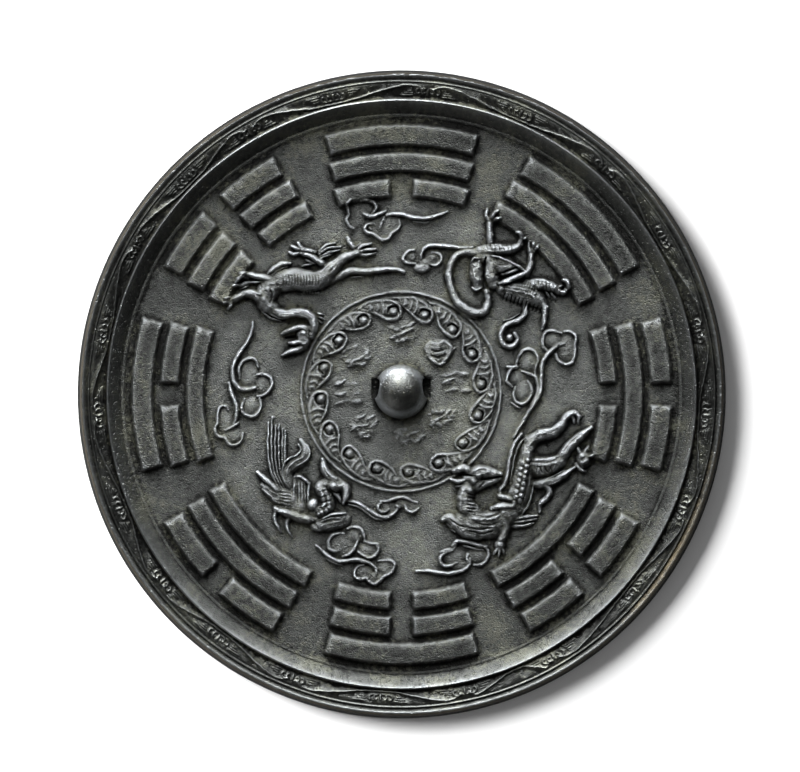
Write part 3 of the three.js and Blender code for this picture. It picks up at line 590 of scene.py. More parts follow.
@dataclass
class InnerGroup:
    """The thin ring, the petals that follow it and the eight groups of short strokes round the knob."""

    ring_radius: float = 33.8
    ring_width: float = 1.25
    ring_height: float = 0.7
    line_inset: float = 1.75
    line_width: float = 0.8
    line_height: float = 0.35
    petal_count: int = 16
    petal_turn: float = 24.0
    petal_height: float = 1.05
    first_petal: float = 3.9
    bead_place: Point = (27.2, 0.05)
    bead_radius: float = 1.45
    moat_radius: float = 2.0
    moat_turns: tuple[float, ...] = (-1.9, -0.6, 0.7, 1.6)
    ribs: int = 3
    petal_seed: int = 33
    body: tuple[Point, ...] = ((27.6, 0.02), (29.2, 0.36), (31, 0.8))
    body_widths: tuple[float, ...] = (4.6, 5.2, 2.2)
    edge_widths: tuple[float, ...] = (1, 1.6, 1.8, 1.6, 1.3, 1)
    outline: tuple[Point, ...] = (
        (31.5, 0.97), (32.0, 0.74), (31.9, 0.45), (31.1, 0.17), (29.5, -0.07), (27.4, -0.16), (25.5, -0.09),
        (24.8, 0.09), (25.3, 0.29), (26.9, 0.5), (29.0, 0.71), (30.9, 0.93),
    )
    crescent: tuple[Point, ...] = ((28.9, -0.06), (29.5, 0.09), (28.8, 0.25), (26.9, 0.27))
    group_places: tuple[Point, ...] = (
        (0.6, 21.2),
        (12.5, 14.2),
        (18.2, 4.2),
        (13.5, -8.5),
        (2.5, -14.8),
        (-13, -11),
        (-18.3, 0.5),
        (-15.4, 13.2),
    )
    group_size: float = 5.1
    group_height: float = 0.55
    group_seed: int = 21
    groups_in_rows: tuple[int, ...] = (2, 6)
    strokes_in_rows: int = 9
    scattered_strokes: int = 26
    shield_group: int = 1
    shield: tuple[Point, ...] = (
        (8.4, 15.4),
        (9.6, 17.4),
        (12.4, 17.0),
        (14.4, 18.0),
        (16.6, 15.8),
        (15.6, 12.8),
        (13.0, 10.2),
        (10.2, 11.8),
    )

    def at(self, radius: float, angle: float) -> Point:
        """Gives a point from its radius and its angle anticlockwise from +X, in radians."""
        return CENTRE_SHIFT[0] + radius * math.cos(angle), CENTRE_SHIFT[1] + radius * math.sin(angle)

    def on_petal(self, head: float, places: list[Point]) -> list[Point]:
        """Lays a path out on a petal.

        Args:
            head: The angle of the petal's head, anticlockwise from +X in radians.
            places: Radii and shares of the petal's length, counted from its head.

        Returns:
            The same points on the mirror.
        """
        turn = math.radians(self.petal_turn)
        return [self.at(radius, head + share * turn) for radius, share in places]

    def shape_ring(self, surface: CastingSurface) -> None:
        """Raises the thin ring and a fine line on its inner side.

        Args:
            surface: The decorated side.
        """
        radius = np.hypot(surface.x - CENTRE_SHIFT[0], surface.y - CENTRE_SHIFT[1])
        radius += surface.wander * surface.drift[0]
        for middle, width, height in (
            (self.ring_radius, self.ring_width, self.ring_height),
            (self.ring_radius - self.line_inset, self.line_width, self.line_height),
        ):
            swell = 1 - ((radius - middle) / (width / 2)) ** 2
            index = np.nonzero(swell > 0)[0]
            surface.lay(index, height * swell[index] ** Section.LINE.value, Join.OVER)

    def shape_petals(self, surface: CastingSurface) -> None:
        """Raises each petal: a plump body, a looped edge, a hooked bead at its head and ribs at its tail.

        Args:
            surface: The decorated side.
        """
        rng = np.random.default_rng(self.petal_seed)
        for i in range(self.petal_count):
            head = math.radians(self.first_petal) + i * 2 * math.pi / self.petal_count
            lift = self.petal_height * rng.uniform(0.85, 1.15)
            outline = []
            for radius, share in self.outline:
                outline.append((radius + rng.uniform(-0.3, 0.3), share + rng.uniform(-0.02, 0.02)))
            surface.stroke(self.on_petal(head, self.body), self.body_widths, lift * 0.8, Section.BODY)
            widths = [width * rng.uniform(0.7, 1.3) for width in self.edge_widths]
            surface.stroke(self.on_petal(head, outline), widths, lift * 0.9, Section.LINE)
            surface.stroke(self.on_petal(head, self.crescent), [0.8, 1.2, 0.9], lift * 0.95, Section.LINE)
            [(x, y)] = self.on_petal(head, [self.bead_place])
            moat = [
                (x + self.moat_radius * math.cos(angle + head), y + self.moat_radius * math.sin(angle + head))
                for angle in self.moat_turns
            ]
            surface.stroke(moat, [0.7, 1, 0.7], 0.9, Section.LINE, Join.INTO)
            surface.dome(x, y, self.bead_radius, self.bead_radius * rng.uniform(0.9, 1.05), lift * 1.35)
            for k in range(self.ribs):
                share = 0.36 + 0.15 * k + rng.uniform(-0.02, 0.02)
                top, foot = 31.2 - 0.1 * k, 26.8 + 1.3 * k + rng.uniform(-0.3, 0.3)
                rib = [(top, share), ((top + foot) / 2, share - 0.03), (foot, share + 0.04)]
                height = lift * rng.uniform(1.0, 1.3)
                surface.stroke(self.on_petal(head, rib), [1.6, 1.8, 1.2], height, Section.LINE)

    def shape_groups(self, surface: CastingSurface) -> None:
        """Raises blurred strokes on a low swelling in each of the eight places; they spell nothing.

        Args:
            surface: The decorated side.
        """
        rng = np.random.default_rng(self.group_seed)
        for i, (x, y) in enumerate(self.group_places):
            surface.dome(x, y, self.group_size, self.group_size * 0.85, 0.3, Join.ON)
            in_rows = i in self.groups_in_rows
            for k in range(self.strokes_in_rows if in_rows else self.scattered_strokes):
                if in_rows:
                    cx = x + (k % 3 - 1) * 2.7 + rng.uniform(-0.9, 0.9)
                    cy = y + (k // 3 - 1) * 2.9 + rng.uniform(-0.5, 0.5)
                    across, up = rng.uniform(1.0, 2.2), rng.uniform(0.6, 1.1)
                else:
                    turn = rng.uniform(0, 2 * math.pi)
                    away = self.group_size * math.sqrt(rng.uniform(0, 0.8))
                    cx, cy = x + away * math.cos(turn), y + away * 0.8 * math.sin(turn)
                    across, up = rng.uniform(0.5, 1.7), rng.uniform(0.45, 1.1)
                lift = self.group_height * rng.uniform(0.5, 1.5)
                surface.dome(cx, cy, across, up, lift)
                if k % 3 == 0:
                    bend = cy + rng.uniform(-0.6, 0.6)
                    path = [(cx - across, cy - 0.5 * up), (cx, bend), (cx + across * 1.3, cy + up)]
                    surface.stroke(path, [0.8, 1.3, 0.8], lift * 1.2, Section.BODY)
        x, y = self.group_places[self.shield_group]
        surface.dome(x + 0.2, y + 0.5, 4.8, 4.1, 1.5)
        surface.stroke([*self.shield, self.shield[0]], [1.8, 1.3, 1.8, 1.4, 1.9], 1.3, Section.BODY)
        for drop in (-1.2, 0.8):
            path = [(x - 2.4, y + drop), (x, y + drop - 0.5), (x + 2.2, y + drop + 0.4)]
            surface.stroke(path, [0.7, 1.0], 0.6, Section.LINE, Join.INTO)


@dataclass
class Knob:
    """The domed knob and the arched hole through its foot."""

    radius: float = 9.25
    height: float = 9.4
    hole_width: float = 6.6
    hole_height: float = 5.6
    hole_shift: float = 1.1
    hole_root: float = 0.4
    hole_overreach: float = 0.8
    arch_steps: int = 20

    def shape(self, surface: CastingSurface) -> None:
        """Raises the dome over the field.

        Args:
            surface: The decorated side.
        """
        distance = np.hypot(surface.x - CENTRE_SHIFT[0], surface.y - CENTRE_SHIFT[1])
        share = np.clip(1 - (distance / self.radius) ** 2, 0, 1)
        index = np.nonzero(share > 0)[0]
        surface.z[index] = FIELD_THICKNESS + self.height * share[index] ** 0.5

    def drill(self) -> bpy.types.Object:
        """Makes the body of the arched tunnel that is taken out of the casting.

        Returns:
            The tunnel along X, in metres.
        """
        half = self.hole_width / 2
        spring = self.hole_height - half
        arch = [(-half, -self.hole_root), (half, -self.hole_root)]
        for k in range(self.arch_steps + 1):
            angle = math.pi * k / self.arch_steps
            arch.append((half * math.cos(angle), spring + half * math.sin(angle)))
        reach = self.radius + self.hole_overreach
        vertices = []
        for side in (-1, 1):
            for y, z in arch:
                vertices.append((
                    (CENTRE_SHIFT[0] + side * reach) * MM,
                    (CENTRE_SHIFT[1] + self.hole_shift + y) * MM,
                    (FIELD_THICKNESS + z) * MM,
                ))
        n = len(arch)
        faces = [tuple(range(n))[::-1], tuple(range(n, 2 * n))]
        faces += [(k, (k + 1) % n, n + (k + 1) % n, n + k) for k in range(n)]
        mesh = bpy.data.meshes.new("cord_hole")
        mesh.from_pydata(vertices, [], faces)
        mesh.update()
        tunnel = bpy.data.objects.new("cord_hole", mesh)
        bpy.context.scene.collection.objects.link(tunnel)
        return tunnel


@dataclass
class Figure:
    """One animal or cloud: bodies that swell from the field, fine lines on them and cuts into them."""

    name: str
    strokes: list[Stroke] = field(default_factory=list)
    domes: list[Dome] = field(default_factory=list)
    ridges: list[Stroke] = field(default_factory=list)
    lines: list[Stroke] = field(default_factory=list)
    cuts: list[Stroke] = field(default_factory=list)
    beads: list[Bead] = field(default_factory=list)

    def shape(self, surface: CastingSurface) -> None:
        """Raises the bodies first, then the ridges beside them, the lines and beads on them and the cuts.

        Args:
            surface: The decorated side.
        """
        for path, widths, height in self.strokes:
            surface.stroke(path, [width * BODY_SPREAD for width in widths], height, Section.BODY)
        for dome in self.domes:
            surface.dome(*dome)
        for path, widths, height in self.ridges:
            surface.stroke(path, widths, height, Section.LINE)
        for path, widths, height in self.lines:
            surface.stroke(path, widths, height, Section.LINE, Join.ON)
        for x, y, radius, height in self.beads:
            surface.dome(x, y, radius, radius, height, Join.ON)
        for path, widths, height in self.cuts:
            surface.stroke(path, widths, height, Section.LINE, Join.INTO)


def bead_row(start: Point, stop: Point, count: int, radius: float, height: float) -> list[Bead]:
    """Spaces equal beads from one point to another.

    Args:
        start: The middle of the first bead.
        stop: The middle of the last bead.
        count: How many beads there are.
        radius: The radius of each.
        height: The height of each.

    Returns:
        The beads in their order.
    """
    (x, y), (across, up) = start, (stop[0] - start[0], stop[1] - start[1])
    return [(x + across * k / (count - 1), y + up * k / (count - 1), radius, height) for k in range(count)]


def pebbles(path: list[Point], width: float, radius: float, height: float, seed: int) -> list[Bead]:
    """Scatters small beads over a band that follows a curve.

    Args:
        path: Points that the band's middle line passes.
        width: How wide the band is.
        radius: The usual radius of a bead; each is up to a fifth smaller or a tenth larger.
        height: The height of each bead.
        seed: What their places and sizes are drawn from.

    Returns:
        The beads in their order along the band.
    """
    rng = np.random.default_rng(seed)
    line = spline(path, radius * 1.7)[0]
    found = []
    for (x, y), (nx, ny) in zip(line[:-1], np.diff(line, axis=0)):
        length = math.hypot(nx, ny)
        rows = max(1, int(width / (radius * 2.0)))
        for k in range(rows):
            off = (k + 0.5) / rows * width - width / 2 + rng.uniform(-0.15, 0.15)
            size = radius * rng.uniform(0.8, 1.1)
            found.append((x - ny / length * off, y + nx / length * off, size, height))
    return found


def rungs(x0: float, x1: float, bottom: float, top: float, step: float, drop: float) -> list[Stroke]:
    """Lists short cuts one above the other, as of feathers or scutes.

    Args:
        x0: Where each cut begins.
        x1: Where each cut ends.
        bottom: The height of the lowest cut on the plan.
        top: The height of the highest cut.
        step: The distance between two cuts.
        drop: How much lower each cut ends than it begins.

    Returns:
        The cuts, from the lowest up.
    """
    widths, depth = [0.6, 0.5], 0.55
    levels = [bottom + k * step for k in range(int(round((top - bottom) / step)) + 1)]
    return [([(x0, level), (x1, level - drop)], widths, depth) for level in levels]


TIGER = Figure(
    "tiger",
    strokes=[
        ([(-44, 37.2), (-40, 38.7), (-35, 39), (-30, 38.4), (-26.4, 39.8), (-23, 43.4), (-20, 46)],
         [5.6, 7, 7, 6.4, 5.6, 4.4, 3.2], 3.6),
        ([(-43.8, 37.4), (-46, 34), (-46.2, 31), (-43.6, 28.8)], [7, 6.6, 5.4, 4], 3.4),
        ([(-44.6, 30), (-42.6, 28.2), (-39.6, 27.2), (-36.2, 27.7), (-32.8, 27.4), (-30.2, 25.6),
          (-29.8, 22.6), (-31, 19.6)], [3.4, 3, 2.8, 2.9, 3, 3, 2.6], 3.3),
        ([(-31.6, 22.4), (-35, 22.5), (-38.6, 21.5), (-40.6, 20.4)], [2.8, 2.2, 1.7, 0.9], 3.1),
        ([(-33.2, 18.4), (-35.4, 17.6), (-38, 17.4)], [2.8, 2, 1], 2.8),
        ([(-33.2, 16.4), (-35.6, 15.2), (-38, 14.5), (-40.6, 13.2)], [3, 2.2, 1.5, 0.8], 2.5),
        ([(-45.2, 29.6), (-47.6, 32.2), (-50.2, 34), (-53.2, 34.1), (-56.4, 32.6), (-58.4, 31.2)],
         [3.6, 3.6, 3, 2.6, 2.5], 2.9),
        ([(-57, 32.6), (-59.9, 32.6)], [1.5, 0.8], 2),
        ([(-57.6, 31.4), (-60.2, 31)], [1.5, 0.8], 2),
        ([(-57.6, 30.8), (-59, 28.8)], [1.5, 0.8], 2),
        ([(-43, 38.9), (-48.2, 39.8), (-51.4, 40.6), (-54.6, 41)], [2.8, 2.2, 2.1, 1.5], 2.5),
        ([(-52.4, 39.6), (-54.4, 39.9), (-56.2, 38)], [1.6, 1.5, 1.1], 2.2),
        ([(-52, 37.9), (-54, 37.2), (-56.8, 36.8)], [1.6, 1.5, 1], 2.1),
        ([(-52.4, 36.6), (-54.6, 35.8)], [1.3, 0.8], 1.8),
        ([(-45.4, 40.8), (-42.8, 42.9), (-40.4, 44.2), (-38, 44.4)], [1, 2, 1.9, 1], 2.2),
        ([(-20.6, 45.9), (-17.4, 47.3), (-14, 48.4)], [3, 2.5, 2], 2.7),
        ([(-15.4, 48.6), (-13.2, 50.5), (-10.4, 51)], [1.4, 1.3, 0.8], 1.9),
        ([(-14.6, 48.2), (-12, 49), (-8.8, 49.2)], [1.5, 1.3, 0.8], 1.9),
        ([(-14.8, 47.6), (-12, 47.3), (-9, 47.9)], [1.4, 1.2, 0.7], 1.7),
        ([(-16, 49), (-17.4, 51.2), (-18.4, 53)], [1.3, 1.8, 1.3], 1.8),
        ([(-25.8, 43.6), (-28.4, 45.4), (-31, 47), (-34, 47.9)], [2.4, 2.1, 1.9, 1.4], 2.6),
        ([(-29.6, 48.2), (-32, 48.8), (-34.6, 49.3)], [1.7, 1.6, 1.4], 2.4),
        ([(-34, 49.6), (-35.2, 51.4)], [1.5, 0.9], 2.1),
        ([(-34.6, 49), (-37.4, 50.2)], [1.5, 0.9], 2.1),
        ([(-34.4, 48), (-36.6, 47.6), (-38.1, 48.2)], [1.5, 1.3, 0.8], 2),
        ([(-24.5, 38.5), (-21, 40.1), (-17.8, 41.8), (-12, 41.7), (-6, 42.4), (-1, 42.2), (0.8, 41.5)],
         [2.6, 2.3, 2, 1.1], 2.2),
    ],
    domes=[(-33.2, 19.6, 2.6, 4.4, 3.7), (-46.4, 34.4, 3.2, 3.4, 3.5)],
    ridges=[
        ([(-27.8, 48.6), (-25.6, 50.5), (-22.6, 51.3)], [1.3, 1.3, 0.7], 2.1),
        ([(-28, 47.6), (-25, 49.5), (-20.9, 50.1)], [1.3, 1.2, 0.7], 2.1),
        ([(-27.8, 46.6), (-24.4, 48.3), (-20.9, 49)], [1.2, 1.1, 0.6], 2),
        ([(-28.4, 45.6), (-26, 46.8), (-23.6, 47.7)], [1.2, 1, 0.6], 1.8),
        ([(-47.8, 31.4), (-46, 28.6), (-43.4, 26.6), (-40.6, 25.7), (-38, 26.2)], [1, 1.1, 0.8], 1.9),
        ([(-48.8, 30.6), (-47, 27.8), (-44, 25.7), (-41, 24.9)], [0.8, 0.9, 0.6], 1.4),
        ([(-52.4, 38), (-48, 38), (-44.4, 36.8)], [0.8, 0.9, 0.7], 1.8),
        ([(-44.8, 39.8), (-42.4, 41.8), (-38.8, 43.4)], [0.8, 1, 0.6], 1.8),
        ([(-43.8, 39.6), (-41.4, 41), (-38.4, 42.3)], [0.8, 1, 0.6], 1.7),
        ([(-32.4, 45.6), (-29.4, 44.2)], [0.9, 0.7], 1.5),
        ([(-33.8, 43.6), (-30, 44.3)], [0.9, 0.7], 1.2),
        ([(-17, 39.6), (-13, 40)], [0.8, 0.5], 0.9),
        ([(-28.2, 27.4), (-26.6, 27.1)], [1.1, 0.7], 1.5),
        ([(-28, 26.2), (-26.4, 25.4)], [1, 0.6], 1.4),
        ([(-28.4, 25.2), (-27, 24.2)], [0.9, 0.6], 1.3),
        ([(-16.2, 49.6), (-13.5, 51.6)], [0.8, 0.5], 1.3),
    ],
    lines=[
        ([(-42.6, 28.6), (-39.6, 28.2), (-36.2, 28.7), (-32.6, 28.3), (-29.6, 26.4)], [0.9, 0.9], 0.5),
        ([(-41.6, 26.8), (-38.8, 26.2), (-35.6, 26.7), (-32.8, 26.2), (-31.2, 24.6), (-31, 22)], [0.8, 0.8],
         0.45),
        ([(-27.4, 41.6), (-25, 44), (-22, 46)], [0.8, 0.7], 0.45),
        ([(-35.8, 20.4), (-34, 21), (-32.4, 20.2)], [0.8, 0.6], 0.5),
        ([(-34.6, 17.6), (-33, 17), (-31.8, 18)], [0.8, 0.6], 0.5),
        ([(-48, 33.8), (-51, 35), (-54, 34.6)], [0.7, 0.6], 0.4),
    ],
    beads=[
        (-34.8, 23.2, 0.9, 0.6),
        (-33.2, 20.8, 0.75, 0.5),
        (-48.4, 34.4, 1, 0.5), (-46.8, 32.4, 0.9, 0.5), (-49.4, 32.6, 0.8, 0.4), (-45.4, 35.8, 0.9, 0.4),
        *bead_row((-33, 34.6), (-28.3, 34.4), 6, 0.5, 0.7),
        *pebbles([(-45, 36.4), (-41, 37.4)], 4, 0.7, 0.35, 13),
    ],
    cuts=[
        *(([(x, 40.4), (x + 0.3, 38.6), (x + 0.1, 37)], [0.45, 0.4], 0.5)
          for x in (-40.4, -39.4, -38.4, -37.4, -36.4, -35.4, -34.4, -33.4, -32.4, -31.4, -30.4, -29.4,
                    -28.4)),
        ([(-39.4, 19.2), (-37.2, 19.5), (-35.4, 19.3)], [1, 1.5, 0.9], 2.2),
        ([(-38, 16), (-36.2, 16.3), (-34.6, 16.7)], [0.6, 0.8, 0.6], 1.2),
        ([(-35.4, 21.4), (-33.8, 22), (-32.4, 21.2)], [0.4, 0.4], 0.5),
        ([(-44.6, 36), (-44, 33.4), (-44.6, 31)], [0.7, 0.8, 0.6], 0.6),
        ([(-47.4, 36.2), (-48.2, 38)], [0.6, 0.6], 0.5),
        ([(-24.6, 41.4), (-22.4, 43.8)], [0.5, 0.5], 0.4),
    ],
)

TORTOISE = Figure(
    "tortoise_and_snake",
    strokes=[
        ([(27.6, 47.6), (23.2, 48.2), (19.1, 47.6), (16.7, 44.2), (15.9, 40.1), (16.8, 36), (18.7, 31.6),
          (21.8, 28.9), (25.2, 27.6), (27.9, 28.2), (29.3, 31.3), (28.9, 34.7)],
         [2.8, 2.2, 2.2, 2.3, 2.8, 2.6, 1.9], 2.5),
        ([(25.4, 45.2), (25.2, 41), (25.8, 37)], [3.6, 4.4, 3], 2.9),
        ([(27.2, 46.8), (30.4, 45.6), (30.2, 41), (31.2, 38)], [4, 5.6, 5, 4], 3.2),
        ([(31.8, 44.4), (34.8, 43.6), (38.4, 42.4)], [6.8, 6.2, 3], 3.3),
        ([(33.4, 37.4), (36.4, 38.6), (40, 40.4), (42.2, 41.3)], [2, 2.3, 2.2, 1.6], 3.8),
        ([(26.6, 48.6), (30.6, 48.9), (34.7, 49), (38.4, 49.7), (40.2, 51)], [3.2, 4.2, 3.8, 2.8, 2], 3.2),
        ([(39.6, 50.6), (40.6, 52.4), (40, 54.8), (38.9, 54.9)], [2, 1.9, 1.3, 0.9], 2.3),
        ([(40.4, 52.2), (42, 52.9)], [1.4, 0.9], 1.8),
        ([(30.2, 50.4), (29.9, 54), (29.9, 57), (29.9, 59.4)], [2.6, 2.2, 2.2], 2.4),
        ([(29.8, 58.8), (28.6, 60.8), (29.1, 62.9)], [1.5, 1.3, 0.8], 2),
        ([(30.2, 59.2), (31, 61), (32.7, 62.2)], [1.6, 1.5, 0.9], 2.1),
        ([(30.6, 58.4), (32, 59.4), (33.6, 59.9)], [1.5, 1.3, 0.8], 1.9),
        ([(42.2, 40.6), (43.6, 43.6), (43.9, 46), (44, 48.4)], [2.4, 2, 1.9], 2.4),
        ([(43.6, 48), (43, 51.3)], [1.5, 0.9], 2),
        ([(44.2, 48.6), (44.8, 51.4)], [1.4, 0.9], 2),
        ([(44.6, 48), (46.1, 50.3)], [1.4, 0.9], 1.9),
        ([(43, 36.8), (46.9, 37.3), (51, 36.5), (53.4, 34.9)], [4.2, 3.9, 3.1, 2.2], 3),
        ([(53, 35), (54.9, 34.6), (56.5, 36.4), (56.2, 38.3), (54.4, 38.6)], [1.9, 1.6, 1.5, 1], 2.2),
        ([(53.4, 36.4), (54.6, 36.8)], [1.4, 0.9], 1.8),
        ([(34.4, 36), (38, 35), (42, 34.1), (45.4, 32.8), (47.8, 30.6)], [4.4, 6, 6.6, 5.6, 3.2], 2.8),
        ([(48, 31), (48.6, 28.2), (48.5, 25.6), (47.7, 22.2)], [2.8, 2, 1.7, 1.1], 2.2),
        ([(42.1, 30.8), (41.8, 27.3), (39.4, 25), (36, 23.8), (34.1, 21.8), (33.7, 18.6), (35.4, 16.4),
          (38, 16.5), (39.3, 18.5), (38.4, 20.6)], [1.9, 1.8, 1.8, 1.8, 1.7, 1.4], 2),
    ],
    domes=[(36.6, 19.2, 1.3, 1.4, 1.9)],
    ridges=[
        ([(20.6, 27.6), (23, 26.4), (25.5, 25.8)], [0.9, 0.7], 1.0),
        ([(28.6, 47.2), (32.6, 46.6), (37.4, 44.6), (42, 41.8)], [1, 1.3, 1.2, 1], 3.9),
        ([(35.6, 41), (37.6, 41.6), (39.4, 42.2)], [1, 1.2, 0.8], 3.7),
        ([(23.6, 44.6), (24.6, 46.2), (26.6, 46)], [0.9, 1, 0.8], 3.2),
        ([(24, 36.2), (25.4, 35.4), (27, 36.2)], [0.9, 1, 0.8], 2.6),
        ([(49, 30.6), (49.8, 28.4)], [0.8, 0.6], 1.6),
        ([(50.6, 34.6), (52.2, 32.4)], [0.9, 0.6], 1.5),
        ([(48.8, 34.8), (50.2, 32.8)], [0.9, 0.6], 1.5),
        ([(34.6, 25), (37.4, 25.8), (40, 27.4)], [0.6, 0.7, 0.5], 1.2),
    ],
    lines=[
        ([(17.4, 44), (16.7, 40.2), (17.4, 36.4), (19.4, 32.2), (22.4, 29.8), (25.4, 28.6)], [0.7, 0.7], 0.4),
        ([(29.4, 50.8), (33.4, 50.7), (37.6, 51.2)], [0.8, 0.7], 0.5),
        ([(44, 38.6), (47.4, 38.8), (51.4, 37.8)], [0.8, 0.7], 0.5),
        ([(24.2, 42.6), (25, 40), (26, 38)], [0.7, 0.7], 0.4),
        ([(33.4, 41), (35.6, 39.9), (38, 40)], [0.7, 0.6], 0.4),
    ],
    beads=[
        *pebbles([(34.6, 37), (38.5, 36.2), (42.6, 35.4), (46, 34)], 3.4, 0.55, 0.45, 3),
        *pebbles([(29.6, 49), (33.6, 49.2), (37.4, 49.6)], 2.4, 0.5, 0.4, 4),
        (26.2, 45, 0.6, 0.5), (24.6, 43.6, 0.5, 0.4), (26.4, 43, 0.5, 0.4), (28.9, 34.6, 0.7, 0.5),
        (31.8, 36.4, 1, 0.6), (33.6, 35.8, 0.9, 0.6), (44.8, 37.6, 0.9, 0.5), (46.6, 36.4, 0.8, 0.5),
    ],
    cuts=[
        *(([(35 + 1.25 * k, 34.6 - 0.5 * k), (34.2 + 1.25 * k, 31.9 - 0.45 * k)], [0.45, 0.6], 0.9)
          for k in range(11)),
        *(([(x, 51), (x + 0.6, 48.6)], [0.5, 0.4], 0.5) for x in (28.6, 30, 31.4, 32.8, 34.2, 35.6, 37)),
        *(([(45 + k * 1.3, 38.8 - k * 0.3), (45.5 + k * 1.3, 36.4 - k * 0.35)], [0.5, 0.4], 0.45)
          for k in range(6)),
        ([(31.8, 40.4), (34.8, 41.6), (38.8, 43)], [0.9, 1, 0.7], 1.2),
        ([(34.2, 39.4), (37.2, 40.3), (40.2, 41.8)], [0.7, 0.8, 0.6], 1),
        ([(28.6, 46.4), (27.9, 42.6), (28.2, 38.4), (29.4, 36)], [0.9, 1.2, 1.2, 0.8], 2),
        ([(33, 43.8), (36, 44.2)], [0.5, 0.5], 0.4),
        ([(32.6, 37), (36, 37.4), (40, 38.9)], [0.7, 0.8, 0.6], 1.1),
    ],
)

